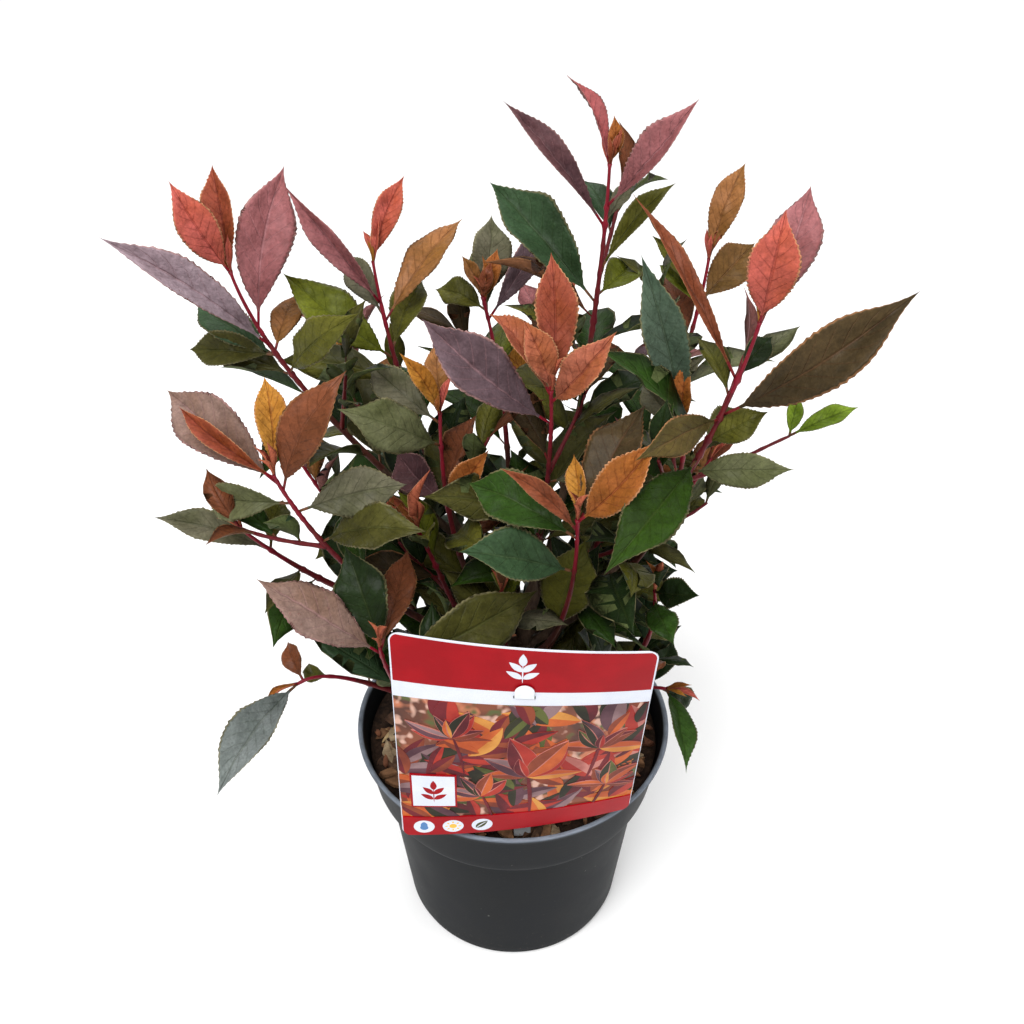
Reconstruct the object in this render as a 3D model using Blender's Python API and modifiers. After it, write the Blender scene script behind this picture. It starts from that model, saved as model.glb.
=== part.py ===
"""A dwarf red-leaved photinia in its nursery pot, with its label.

Metres, +Z up. The origin is the centre of the pot's flat underside and the front is -Y.
Sizes that read better so are written in millimetres and turned into metres by mm().
"""

import math
import random

import bpy
from mathutils import Matrix, Vector
from mathutils.bvhtree import BVHTree

UP = Vector((0, 0, 1))
GAP = 0.0003  # between neighbouring pieces

# Pot: a turned 19 cm nursery pot with a flared collar and a rolled lip
POT_HEIGHT = 0.147
RIM_RADIUS = 0.095
COLLAR_RADIUS = 0.0867  # outside, at the collar's lower edge
COLLAR_Z = 0.107
WALL_TOP_RADIUS = 0.080  # outside, just under the collar
BASE_RADIUS = 0.0683
WALL = 0.0018
FLOOR = 0.003
LIP = 0.0026  # height of the rolled lip
EDGE = 0.0012  # how far its edges are rounded off
COLLAR_SLOPE = 0.002  # half height of the soft step under the collar
FOOT = 0.0045  # height of the ring that it stands on
POT_STEPS = 32
HOLES = 8
HOLE_RADIUS = 0.005
HOLE_RING = 0.052

# Soil: fills the pot to a little under the rim
SOIL_Z = 0.132
SOIL_CLEAR = 0.0008  # from the pot's wall
SOIL_RINGS = (0, 0.03, 0.06)

# Label: a plastic card held by a strip that stands in the soil
CARD_CORNERS = {  # millimetres
    "bottom_left": (-60, -94, 152),
    "bottom_right": (64, -77, 154),
    "top_left": (-57, -105, 309),
    "top_right": (66, -112, 303),
}
CARD_SIZE = (0.124, 0.157)
CARD_THICK = 0.0006
CARD_CORNER_RADIUS = 0.006
CARD_BULGE = 0.005  # how far the middle stands out to the front
CARD_COLUMNS = 6
SLIT_SIZE = (0.0106, 0.006, 0.0028)
STRIP_WIDTH = 0.0094
STRIP_THICK = 0.0008
STRIP_FOOT = (5, -79, 132)  # where it enters the soil, millimetres
STRIP_DEPTH = 0.025  # into the soil
SLOT_ROOM = 0.0005  # round its end in the soil
STRIP_RUN_UP = 0.004  # under the slit, where it turns to pass through
STRIP_SHARE = 0.51  # place across the card, from its left edge
SLIT_SHARE = 0.765  # height on the card
STRIP_PASS = 0.0007  # rise on either side of the slit's middle
TAB_LENGTH = 0.0105
TAB_OUTLINE = ((0.55, 0.97), (0.85, 0.66), (1, 0.25))  # (share of length, share of width)
STRIP_STEP = 0.0013  # how far the strip stands off the card's middle on either side

# Limbs, radii in metres
TRUNK_RADII = (0.0056, 0.0040)
FLARE = 0.0045  # added at ground level, gone after FLARE_HEIGHT
FLARE_HEIGHT = 0.014
BOUGH_RADII = (0.0027, 0.0021)
STEM_RADII = (0.0021, 0.0013)
TWIG_RADII = (0.0017, 0.0014)
TRUNK_SIDES = 8
BOUGH_SIDES = 5
STEM_SIDES = 4
LOWEST_FORK = 0.144  # the lowest bough leaves the trunk here
HIGHEST_FORK = 0.236
ELBOW = 0.022  # how far a bough runs out before it turns up
ROUTE_RADII = (0.0032, 0.0024)  # room kept round a bough and its shoot
FORK_SHIFTS = (0, 0.006, -0.006, 0.012, -0.012)  # up or down the trunk, where that is needed
ROUTE_TURNS = (0, 12, -12, 24, -24, 36, -36, 50, -50, 65, -65, 80, -80)

# Leaves: stations along the length, as (share of length, share of width)
LEAF_STATIONS = ((0.0, 0.0), (0.34, 0.90), (0.68, 0.74))
PETIOLE = 0.0005  # half width of a leaf stalk
KEEL = 0.0009  # depth of the midrib under the leaf's face
BOW = 0.07  # rise of the midrib's arch, as a share of length
LIGHT = Vector((0, -0.75, 0.75))  # the side that leading leaves turn their faces to
CLEARANCE = 0.0007  # kept round a leaf when it is placed
LOWEST_LEAF = 0.006

# The branching rule
SEED = 41
GOLDEN_TURN = math.radians(137.5)
INTERNODES = (0.009, 0.015)  # between leaves, at a tip and on old wood
OLD = 0.070  # this far below its tip a shoot is old wood
SPREADS = (math.radians(30), math.radians(66))
SPREAD_JITTER = math.radians(8)
SHOOT_LEAVES = (0.040, 0.064)  # length at a tip and on old wood
TWIG_LEAVES = (0.034, 0.050)
BARE = 45  # above this, in millimetres, a shoot carries only its leading leaves
WIDTH_SHARE = 0.38
TWIG_LENGTH = 0.036
TWIG_SPREAD = math.radians(46)
TWIG_FROM = 0.052
TWIG_EVERY = 0.046
TWIG_TURNS = (0, 1.2, -1.2)  # tried in order
TWIG_ROOM = (0.002, 0.002)

# What a leaf tries, in order, when its place is taken: turned, lifted or opened, and shrunk
LEADING_TRIES = (
    (0, 0, 1), (7, 0, 1), (-7, 0, 1), (0, 7, 1), (0, -7, 1), (12, 6, 1), (-12, 6, 1),
    (12, -8, 1), (-12, -8, 1), (0, 0, 0.85), (14, 0, 0.8), (-14, 0, 0.8),
)
RULE_TRIES = ((0, 0, 1), (0.6, -0.1, 0.92), (-0.6, 0.1, 0.92), (1.3, 0, 0.85), (3.1, 0, 0.8))

# Every shoot: where its tip stands, how the tip leans (heading from +X, rise), how long it
# is leafy, and its leading leaves as (down from the tip, heading, rise, length, width).
# Millimetres and degrees. Heading 90 points away from the front. Other leaves follow the
# branching rule, at that size, below the bare length.
SHOOTS = {
    "centre": {
        "tip": (17, -40, 396), "lean": (250, 80), "leafy": 140,
        "leaves": ((0, 90, 55, 64, 19), (0, 170, 70, 37, 15), (6, -20, 55, 50, 17),
                   (19, 176, 42, 78, 27), (3, 130, 30, 52, 14)),
    },
    "top": {
        "tip": (45, 35, 475), "lean": (85, 80), "leafy": 125, "bare": 75,
        "leaves": ((29, 148, 42, 77, 16), (0, 134, 51, 46, 11), (0, 80, 63, 23, 9),
                   (19, -20, 54, 66, 19), (26, 55, 28, 26, 10), (50, 40, 36, 56, 14),
                   (63, 60, 8, 32, 16)),
    },
    "upper_left": {
        "tip": (-135, 15, 430), "lean": (135, 67), "leafy": 115, "bare": 60,
        "leaves": ((0, 185, 65, 50, 18), (0, 107, 57, 52, 14), (29, 73, 57, 80, 27),
                   (41, 197, 44, 94, 22), (47, 142, 11, 62, 22), (56, -30, 44, 62, 20),
                   (73, 97, 42, 75, 26), (43, 80, 20, 45, 16), (45, 158, -3, 50, 18)),
    },
    "back_left": {
        "tip": (-70, 40, 425), "lean": (112, 70), "leafy": 115,
        "leaves": ((0, 56, 52, 46, 13), (21, 185, 57, 74, 17), (30, 50, 33, 72, 20),
                   (27, 129, 32, 42, 16), (45, 68, 32, 45, 18)),
    },
    "right": {
        "tip": (105, -50, 435), "lean": (30, 76), "leafy": 120, "bare": 60,
        "leaves": ((0, 67, 49, 50, 20), (3, 57, 47, 64, 22), (28, 133, 45, 98, 15),
                   (46, -13, 42, 103, 27), (48, 212, 0, 50, 17), (26, 51, 18, 30, 12),
                   (75, -49, 30, 45, 17), (69, 49, 13, 40, 18), (77, 211, -22, 68, 26),
                   (54, 32, 9, 34, 9), (58, 20, 9, 70, 11)),
    },
    "back_right": {
        "tip": (100, 55, 420), "lean": (68, 74), "leafy": 110,
        "leaves": ((0, 52, 56, 52, 15), (24, 123, 19, 36, 10), (22, 131, 36, 45, 9),
                   (17, 42, 25, 42, 20)),
    },
    "mid_right": {
        "tip": (79, -20, 380), "lean": (160, 72), "leafy": 90,
        "leaves": ((11, 168, 73, 86, 20), (14, 51, 86, 40, 10), (16, 122, 16, 36, 16),
                   (1, 128, 14, 30, 11)),
    },
    "back_centre": {
        "tip": (-17, 85, 385), "lean": (140, 70), "leafy": 100,
        "leaves": ((4, 72, 57, 66, 24), (9, 98, 39, 50, 16), (2, 61, 52, 30, 10),
                   (7, 146, 12, 34, 18), (0, 127, 48, 26, 8), (0, 22, 76, 22, 8),
                   (12, 36, 42, 67, 15)),
    },
    "mid_left": {
        "tip": (-107, -70, 370), "lean": (219, 72), "leafy": 100,
        "leaves": ((6, 145, 22, 75, 26), (0, 101, 49, 46, 14), (10, 15, 60, 66, 22),
                   (18, 160, -11, 50, 18), (24, 36, -28, 50, 20), (47, -23, 29, 60, 22)),
    },
    "mid_centre": {
        "tip": (-36, -10, 367), "lean": (80, 80), "leafy": 100,
        "leaves": ((0, 95, 47, 38, 13), (1, 183, 63, 40, 10), (51, 0, 57, 40, 14),
                   (51, 135, 21, 42, 20), (17, 206, 35, 60, 26), (5, 148, 28, 50, 18)),
    },
    "front": {
        "tip": (29, -75, 349), "lean": (255, 80), "leafy": 115,
        "leaves": ((0, 3, 52, 54, 19), (0, 93, 41, 32, 10), (7, 178, 45, 48, 9),
                   (3, 48, 43, 65, 25), (12, 150, 11, 60, 26), (97, 34, 72, 56, 30),
                   (36, 194, 22, 60, 26)),
    },
    "far_left": {
        "tip": (-131, -55, 330), "lean": (200, 55), "leafy": 65,
        "leaves": ((13, 161, 0, 60, 17), (0, 119, 1, 18, 6), (21, 88, 13, 35, 14)),
    },
    "low_left": {
        "tip": (-64, -88, 283), "lean": (262, 74), "leafy": 70,
        "leaves": ((5, 191, 41, 68, 26), (0, 110, 25, 56, 24), (0, 92, 40, 30, 13),
                   (2, 78, 24, 56, 17), (18, 29, 17, 85, 30)),
    },
    "low_right": {
        "tip": (72, -45, 283), "lean": (215, 80), "leafy": 95, "size": 0.75,
        "leaves": ((0, -53, 30, 34, 16), (7, -80, 1, 34, 16), (39, 61, -15, 24, 14)),
    },
    "drooping": {
        "tip": (-114, -60, 231), "lean": (200, -30), "leafy": 60, "straight": 30,
        "leaves": ((0, 245, -8, 72, 23), (18, 153, -15, 20, 10), (3, 118, 23, 25, 12)),
    },
    "low_edge": {
        "tip": (87, -31, 199), "lean": (-25, 8), "leafy": 45, "straight": 30, "size": 0.7,
        "leaves": ((0, -85, -3, 56, 15), (3, 22, -38, 30, 15), (10, 60, 25, 34, 14)),
    },
    "rear": {"tip": (20, 130, 345), "lean": (85, 60), "leafy": 105},
    "rear_left": {"tip": (-95, 95, 345), "lean": (130, 62), "leafy": 105},
    "rear_right": {"tip": (90, 115, 345), "lean": (50, 62), "leafy": 105},
    "side_left": {"tip": (-122, 45, 305), "lean": (165, 60), "leafy": 90, "size": 0.85},
    "side_right": {"tip": (112, 45, 305), "lean": (10, 60), "leafy": 90, "size": 0.85},
    "inner_left": {"tip": (-48, -38, 318), "lean": (225, 70), "leafy": 85},
    "inner_right": {"tip": (58, -5, 322), "lean": (0, 72), "leafy": 85},
    "low_front": {"tip": (-6, -52, 288), "lean": (265, 72), "leafy": 85},
}
LEADER = "centre"  # the shoot that runs straight up from the trunk
STRAIGHT = 75  # length over which a shoot's tip keeps its lean


def mm(*values):
    return Vector(values) / 1000 if len(values) > 1 else values[0] / 1000


def mix(a, b, share):
    return a + (b - a) * share


def aim(heading, rise):
    """Unit vector from a heading and a rise in degrees."""
    heading, rise = math.radians(heading), math.radians(rise)
    flat = math.cos(rise)
    return Vector((flat * math.cos(heading), flat * math.sin(heading), math.sin(rise)))


def clear_scene():
    for obj in list(bpy.data.objects):
        bpy.data.objects.remove(obj, do_unlink=True)


def new_collection(name):
    collection = bpy.data.collections.new(name)
    bpy.context.scene.collection.children.link(collection)
    return collection


def material(name, colour, roughness):
    mat = bpy.data.materials.new(name)
    mat.use_nodes = True
    shader = mat.node_tree.nodes["Principled BSDF"]
    shader.inputs["Base Color"].default_value = (*colour, 1)
    shader.inputs["Roughness"].default_value = roughness
    shader.inputs["Metallic"].default_value = 0
    return mat


def add_object(name, verts, faces, mat, collection):
    mesh = bpy.data.meshes.new(name)
    mesh.from_pydata([tuple(v) for v in verts], [], faces)
    mesh.materials.append(mat)
    obj = bpy.data.objects.new(name, mesh)
    collection.objects.link(obj)
    return obj


def as_cutter(obj):
    obj.hide_render = True
    obj.display_type = "WIRE"


def subtract(obj, name, cutter):
    cut = obj.modifiers.new(name, "BOOLEAN")
    cut.operation = "DIFFERENCE"
    if isinstance(cutter, bpy.types.Collection):
        cut.operand_type = "COLLECTION"
        cut.collection = cutter
    else:
        cut.object = cutter


def loft(sections, point=None):
    """Vertices and faces of a skin over equal sections, which run anticlockwise seen from the
    far end. The last section is capped, or drawn to a point."""
    count = len(sections[0])
    verts = [v for section in sections for v in section]
    faces = [tuple(reversed(range(count)))]
    for row in range(len(sections) - 1):
        a, b = row * count, (row + 1) * count
        for k in range(count):
            n = (k + 1) % count
            faces.append((a + k, a + n, b + n, b + k))
    last = (len(sections) - 1) * count
    if point is None:
        faces.append(tuple(range(last, last + count)))
    else:
        verts.append(point)
        for k in range(count):
            faces.append((last + k, last + (k + 1) % count, len(verts) - 1))
    return verts, faces


def turned(name, profile, mat, collection, steps=POT_STEPS):
    """A solid of revolution from a closed (radius, height) profile that starts and ends on the
    axis and runs down its outer side."""
    verts = [(r, 0, z) for r, z in profile]
    mesh = bpy.data.meshes.new(name)
    mesh.from_pydata(verts, [(i, i + 1) for i in range(len(verts) - 1)], [])
    mesh.materials.append(mat)
    obj = bpy.data.objects.new(name, mesh)
    collection.objects.link(obj)
    screw = obj.modifiers.new("Turn", "SCREW")
    screw.steps = screw.render_steps = steps
    screw.use_merge_vertices = True
    screw.merge_threshold = 0.00001
    screw.use_smooth_shade = True
    return obj


def inner_radius(z):
    """Inside of the pot wall at height z."""
    if z < COLLAR_Z:
        outside = mix(BASE_RADIUS, WALL_TOP_RADIUS, z / COLLAR_Z)
    else:
        share = (z - COLLAR_Z) / (POT_HEIGHT - COLLAR_Z)
        outside = mix(COLLAR_RADIUS, RIM_RADIUS - EDGE, share)
    return outside - WALL


def pot_profile():
    half_edge = EDGE / 2
    under_lip = POT_HEIGHT - LIP
    below, above = COLLAR_Z - COLLAR_SLOPE, COLLAR_Z + COLLAR_SLOPE
    return [
        (0, FLOOR),
        (inner_radius(FLOOR), FLOOR),
        (inner_radius(below), below),
        (inner_radius(above), above),
        (inner_radius(under_lip), under_lip),
        (RIM_RADIUS - LIP, POT_HEIGHT - half_edge),
        (RIM_RADIUS - LIP / 2, POT_HEIGHT),
        (RIM_RADIUS, POT_HEIGHT - half_edge),
        (RIM_RADIUS, under_lip),
        (RIM_RADIUS - EDGE, under_lip - half_edge),
        (COLLAR_RADIUS, above),
        (WALL_TOP_RADIUS, below),
        (BASE_RADIUS + EDGE, FOOT),
        (BASE_RADIUS, FOOT - EDGE),
        (BASE_RADIUS, EDGE),
        (BASE_RADIUS - EDGE, 0),
        (0, 0),
    ]


def make_pot(parts, cutters):
    pot = turned("pot", pot_profile(), material("pot_plastic", (0.04, 0.043, 0.046), 0.5), parts)
    for k in range(HOLES):
        angle = math.tau * (k + 0.5) / HOLES
        place = (HOLE_RING * math.cos(angle), HOLE_RING * math.sin(angle), FLOOR / 2)
        bpy.ops.mesh.primitive_cylinder_add(
            vertices=10, radius=HOLE_RADIUS, depth=4 * FLOOR, location=place
        )
        hole = bpy.context.object
        hole.name = f"drain_cutter_{k + 1}"
        hole.users_collection[0].objects.unlink(hole)
        cutters.objects.link(hole)
        as_cutter(hole)
    subtract(pot, "Drain holes", cutters)


def make_soil(parts, slot):
    floor = FLOOR + GAP
    heights = (SOIL_Z, COLLAR_Z + COLLAR_SLOPE, COLLAR_Z - COLLAR_SLOPE, floor)
    profile = [(r, SOIL_Z) for r in SOIL_RINGS]
    profile += [(inner_radius(z) - SOIL_CLEAR, z) for z in heights]
    profile.append((0, floor))
    soil = turned("soil", profile, material("bark_soil", (0.05, 0.03, 0.02), 0.95), parts)
    subtract(soil, "Label slot", slot)


def card_point(x, z):
    """A point of the hanging card from its flat place: x from the middle, z from the bottom."""
    corner = {name: mm(*place) for name, place in CARD_CORNERS.items()}
    across, height = x / CARD_SIZE[0] + 0.5, z / CARD_SIZE[1]
    low = mix(corner["bottom_left"], corner["bottom_right"], across)
    high = mix(corner["top_left"], corner["top_right"], across)
    bulge = CARD_BULGE * 4 * across * (1 - across)
    return mix(low, high, height) + Vector((0, -bulge, 0))


def card_frame(x, z):
    """The card's middle point there, with its across, upward and outward directions."""
    step = 0.001
    across = (card_point(x + step, z) - card_point(x - step, z)).normalized()
    upward = (card_point(x, z + step) - card_point(x, z - step)).normalized()
    outward = across.cross(upward).normalized()
    return card_point(x, z), across, upward, outward


def card_rows():
    """Heights of the card's rows, with the half width of each: narrower in the round corners."""
    half, high = CARD_SIZE[0] / 2, CARD_SIZE[1]
    radius = CARD_CORNER_RADIUS
    arc = [radius * (1 - math.cos(a)) for a in (0, math.pi / 4, math.pi / 2)]
    middle = [mix(radius, high - radius, k / 4) for k in range(1, 4)]
    rows = []
    for z in arc + middle + [high - a for a in reversed(arc)]:
        inset = max(radius - z, z - (high - radius), 0)
        rows.append((z, half - radius + math.sqrt(max(radius**2 - inset**2, 0))))
    return rows


def make_card(parts, cutters):
    rows = card_rows()
    verts, faces = [], []
    for z, half in rows:
        for k in range(CARD_COLUMNS + 1):
            verts.append(card_point(mix(-half, half, k / CARD_COLUMNS), z))
    for row in range(len(rows) - 1):
        a, b = row * (CARD_COLUMNS + 1), (row + 1) * (CARD_COLUMNS + 1)
        for k in range(CARD_COLUMNS):
            faces.append((a + k, a + k + 1, b + k + 1, b + k))
    card = add_object("label_card", verts, faces, material("card", (0.5, 0.05, 0.06), 0.35), parts)
    wall = card.modifiers.new("Thickness", "SOLIDIFY")
    wall.thickness = CARD_THICK
    wall.offset = 0
    place, across, upward, outward = card_frame(*slit_place())
    size = [half / 2 for half in SLIT_SIZE]
    sections = [
        [place + outward * d + across * sx * size[0] + upward * sz * size[2]
         for sx, sz in ((-1, -1), (1, -1), (1, 1), (-1, 1))]
        for d in (-size[1], size[1])
    ]
    slit = add_object("slit_cutter", *loft(sections), card.data.materials[0], cutters)
    as_cutter(slit)
    subtract(card, "Slit", slit)


def slit_place():
    return (STRIP_SHARE - 0.5) * CARD_SIZE[0], SLIT_SHARE * CARD_SIZE[1]


def strip_sections(grow=0.0, only_foot=False):
    """Cross-sections of the label's strip from its end in the soil, up behind the card, through
    the slit and on to its round tab."""
    x, slit_z = slit_place()
    _, across, upward, outward = card_frame(x, slit_z)
    foot = mm(*STRIP_FOOT)
    behind = card_point(x, slit_z - STRIP_RUN_UP) - outward * STRIP_STEP
    along = (behind - foot).normalized()
    stations = [(foot - along * STRIP_DEPTH, 1)]
    if only_foot:
        stations.append((foot + along * STRIP_RUN_UP, 1))
    else:
        stations.append((behind, 1))
        for height, side in ((-STRIP_PASS, -1), (STRIP_PASS, 1), (4 * STRIP_PASS, 1)):
            stations.append((card_point(x, slit_z + height) + outward * STRIP_STEP * side, 1))
        for share, narrow in TAB_OUTLINE:
            place = card_point(x, slit_z + TAB_LENGTH * share) + outward * STRIP_STEP
            stations.append((place, narrow))
    half_wide, half_thick = STRIP_WIDTH / 2 + grow, STRIP_THICK / 2 + grow
    return [
        [place + across * sx * half_wide * narrow + outward * sy * half_thick
         for sx, sy in ((1, 1), (1, -1), (-1, -1), (-1, 1))]
        for place, narrow in stations
    ]


def make_strip(parts, cutters):
    clear = material("strip_plastic", (0.75, 0.78, 0.8), 0.3)
    add_object("label_strip", *loft(strip_sections()), clear, parts)
    slot = strip_sections(grow=SLOT_ROOM, only_foot=True)
    slot[0] = [v - UP * SLOT_ROOM for v in slot[0]]
    cutter = add_object("slot_cutter", *loft(slot), clear, cutters)
    as_cutter(cutter)
    return cutter


class Limb:
    """A cubic curve in space, from start to tip, measured in metres along it."""

    SAMPLES = 60

    def __init__(self, start, first, second, tip):
        self.ends = (start, first, second, tip)
        self.points = [self.at(k / self.SAMPLES) for k in range(self.SAMPLES + 1)]
        self.reach = [0.0]
        for a, b in zip(self.points, self.points[1:]):
            self.reach.append(self.reach[-1] + (b - a).length)
        self.length = self.reach[-1]

    def at(self, t):
        a, b, c, d = self.ends
        s = 1 - t
        return a * s**3 + b * 3 * s * s * t + c * 3 * s * t * t + d * t**3

    def tangent(self, t):
        a, b, c, d = self.ends
        s = 1 - t
        return ((b - a) * s * s + (c - b) * 2 * s * t + (d - c) * t * t).normalized()

    def share(self, distance):
        """The curve's parameter at that distance from its start."""
        distance = min(max(distance, 0), self.length)
        k = 0
        while k < self.SAMPLES - 1 and self.reach[k + 1] < distance:
            k += 1
        part = (distance - self.reach[k]) / (self.reach[k + 1] - self.reach[k])
        return (k + part) / self.SAMPLES

    def place(self, distance):
        t = self.share(distance)
        return self.at(t), self.tangent(t)

    def place_down(self, down):
        return self.place(self.length - down)

    def tube(self, begin, end, radius_at, sides, rings):
        """Skin between two distances. radius_at takes the share of the way from begin to end."""
        sections = []
        for k in range(rings + 1):
            centre, along = self.place(mix(begin, end, k / rings))
            upright = UP.rotation_difference(along)
            radius = radius_at(k / rings)
            sections.append([
                centre + upright @ Vector((math.cos(a), math.sin(a), 0)) * radius
                for a in (math.tau * i / sides for i in range(sides))
            ])
        return loft(sections)


def taper(radii):
    return lambda share: mix(radii[0], radii[1], share)


class Space:
    """Everything placed so far, so that no leaf or twig touches another mass or a limb."""

    def __init__(self):
        self.taken = []

    @staticmethod
    def box(verts):
        low = Vector(min(v[k] for v in verts) for k in range(3))
        high = Vector(max(v[k] for v in verts) for k in range(3))
        return low, high

    def add(self, owner, verts, faces):
        self.taken.append((owner, *self.box(verts), BVHTree.FromPolygons(verts, faces)))

    def meets(self, verts, faces, owner, own):
        """Whether the shape cuts something of its own mass, or else of any other."""
        low, high = self.box(verts)
        tree = None
        for other, other_low, other_high, other_tree in self.taken:
            if (other == owner) != own:
                continue
            if any(low[k] > other_high[k] or high[k] < other_low[k] for k in range(3)):
                continue
            tree = tree or BVHTree.FromPolygons(verts, faces)
            if tree.overlap(other_tree):
                return True
        return False


def leaf_shape(root, along, face, length, width, grow=0.0, first=0):
    """A bowed leaf with a keeled back. grow fattens it, and first leaves out the stations
    before that one."""
    normal = (face - along * face.dot(along)).normalized()
    side = normal.cross(along)
    sections = []
    for share, wide in LEAF_STATIONS[first:]:
        slope = 4 * BOW * (1 - 2 * share)
        centre = root + along * length * share + normal * BOW * length * 4 * share * (1 - share)
        top = (normal - along * slope).normalized()
        half = max(PETIOLE, wide * width / 2) + grow
        sections.append([
            centre + side * half + top * grow,
            centre - side * half + top * grow,
            centre - top * (mix(PETIOLE, KEEL, min(share * 4, 1)) + grow),
        ])
    return loft(sections, root + along * (length + grow))


class Mass:
    """One shoot's leafy part: its stem, twigs and leaves."""

    def __init__(self, name, limb, space):
        shoot = SHOOTS[name]
        self.name, self.limb, self.space = name, limb, space
        self.leafy, self.size = mm(shoot["leafy"]), shoot.get("size", 1.0)
        self.bare = mm(shoot.get("bare", BARE)) if "leaves" in shoot else 0.001
        self.shapes = []

    def keep(self, verts, faces, test=None):
        self.shapes.append((verts, faces))
        self.space.add(self.name, *(test or (verts, faces)))

    def grow_stem(self):
        limb = self.limb
        self.keep(*limb.tube(limb.length - self.leafy, limb.length, taper(STEM_RADII), STEM_SIDES, 7))

    def add_leaf(self, root, along, face, length, width):
        """Adds the leaf if it is clear of the limbs, the other masses and its own neighbours."""
        whole = leaf_shape(root, along, face, length, width, CLEARANCE)
        blade = leaf_shape(root, along, face, length, width, CLEARANCE, first=1)
        if min(v.z for v in whole[0]) < LOWEST_LEAF:
            return False
        if self.space.meets(*whole, self.name, own=False):
            return False
        if self.space.meets(*blade, self.name, own=True):
            return False
        self.shapes.append(leaf_shape(root, along, face, length, width))
        self.space.add(self.name, *leaf_shape(root, along, face, length, width))
        return True

    def add_leading_leaves(self, leaves):
        for down, heading, rise, length, width in leaves:
            root, _ = self.limb.place_down(mm(down) + 0.001)
            for turn, lift, shrink in LEADING_TRIES:
                along = aim(heading + turn, rise + lift)
                if self.add_leaf(root, along, LIGHT, mm(length) * shrink, mm(width) * shrink):
                    break

    def add_twigs(self, rng):
        """Side twigs on the lower part of the stem, each with a few leaves."""
        down, turn = TWIG_FROM, rng.uniform(0, math.tau)
        while down < self.leafy - 0.008:
            root, along = self.limb.place_down(down)
            for extra in TWIG_TURNS:
                out = spread_from(along, turn + extra, TWIG_SPREAD)
                length = TWIG_LENGTH * rng.uniform(0.85, 1.15)
                tip = root + out * length + UP * length * 0.12
                twig = Limb(root, root + out * length * 0.4, root + out * length * 0.7, tip)
                shape = twig.tube(0, twig.length, taper(TWIG_RADII), 3, 2)
                outer = twig.tube(length * 0.2, twig.length, taper(TWIG_ROOM), 4, 2)
                if self.space.meets(*outer, self.name, own=False):
                    continue
                if self.space.meets(*outer, self.name, own=True):
                    continue
                self.keep(*shape)
                self.add_rule_leaves(twig, rng, 0.001, length * 0.75, TWIG_LEAVES)
                break
            down += TWIG_EVERY
            turn += GOLDEN_TURN

    def add_rule_leaves(self, limb, rng, first, last, lengths):
        """Leaves in a golden spiral, older, longer and wider spread further from the tip."""
        down, turn = first, rng.uniform(0, math.tau)
        while down < last:
            age = min(down / OLD, 1)
            root, stem = limb.place_down(down)
            spread = mix(*SPREADS, age) + rng.uniform(-1, 1) * SPREAD_JITTER
            length = mix(*lengths, age) * rng.uniform(0.88, 1.1) * self.size
            for extra, opening, shrink in RULE_TRIES:
                along = spread_from(stem, turn + extra, spread + opening)
                size = length * shrink
                if self.add_leaf(root, along, UP + stem * 0.4, size, size * WIDTH_SHARE):
                    break
            down += mix(*INTERNODES, age)
            turn += GOLDEN_TURN


def spread_from(stem, turn, spread):
    """The direction that leaves a stem at that angle, turned that far round it."""
    upright = UP.rotation_difference(stem)
    out = upright @ Vector((math.cos(turn), math.sin(turn), 0))
    return (stem * math.cos(spread) + out * math.sin(spread)).normalized()


def shoot_tip(shoot):
    tip, lean = mm(*shoot["tip"]), aim(*shoot["lean"])
    return tip, tip - lean * mm(shoot.get("straight", STRAIGHT))


def leader_limb():
    """The trunk and the shoot above it, as one curve from the soil."""
    tip, second = shoot_tip(SHOOTS[LEADER])
    ground = Vector((0, 0, SOIL_Z + GAP))
    return Limb(ground, ground + UP * 0.060, second, tip)


def side_limb(shoot, leader, fork_z, turn):
    """A bough and the shoot that it carries, as one curve from the trunk's middle. It sets off
    towards its tip, turned that far round the trunk."""
    tip, second = shoot_tip(shoot)
    distance = next(d for d, p in zip(leader.reach, leader.points) if p.z >= fork_z)
    fork, _ = leader.place(distance)
    out = Vector((tip.x - fork.x, tip.y - fork.y, 0))
    run = max(0.42 * out.length, ELBOW)
    rise = min(max(0.22 * (tip.z - fork.z), 0.008), ELBOW)
    away = Matrix.Rotation(math.radians(turn), 3, "Z") @ out.normalized()
    return Limb(fork, fork + away * run + UP * rise, second, tip)


def route_limbs(leader, guarded):
    """Leads every bough from the trunk, the lowest tips from the lowest forks, each turned as
    far as it must to stay clear of those before it."""
    routes = Space()
    routes.taken = list(guarded.taken)
    top = leader.length - mm(SHOOTS[LEADER]["leafy"])
    routes.add(LEADER, *leader.tube(top, leader.length, taper(ROUTE_RADII), STEM_SIDES, 7))
    ranked = sorted((n for n in SHOOTS if n != LEADER), key=lambda n: SHOOTS[n]["tip"][2])
    limbs = {}
    for rank, name in enumerate(ranked):
        fork_z = mix(LOWEST_FORK, HIGHEST_FORK, rank / (len(ranked) - 1))
        limbs[name] = clear_limb(name, leader, fork_z, routes)
    return limbs


def clear_limb(name, leader, fork_z, routes):
    for rise in FORK_SHIFTS:
        for turn in ROUTE_TURNS:
            limb = side_limb(SHOOTS[name], leader, fork_z + rise, turn)
            shape = limb.tube(TRUNK_RADII[1], limb.length, taper(ROUTE_RADII), BOUGH_SIDES, 16)
            if not routes.meets(*shape, name, own=False):
                routes.add(name, *shape)
                return limb
    raise ValueError(f"no clear way for the bough of {name}")


def trunk_radius(length):
    def radius(share):
        flare = max(0.0, 1 - share * length / FLARE_HEIGHT)
        return mix(*TRUNK_RADII, share) + FLARE * flare**1.6
    return radius


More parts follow.
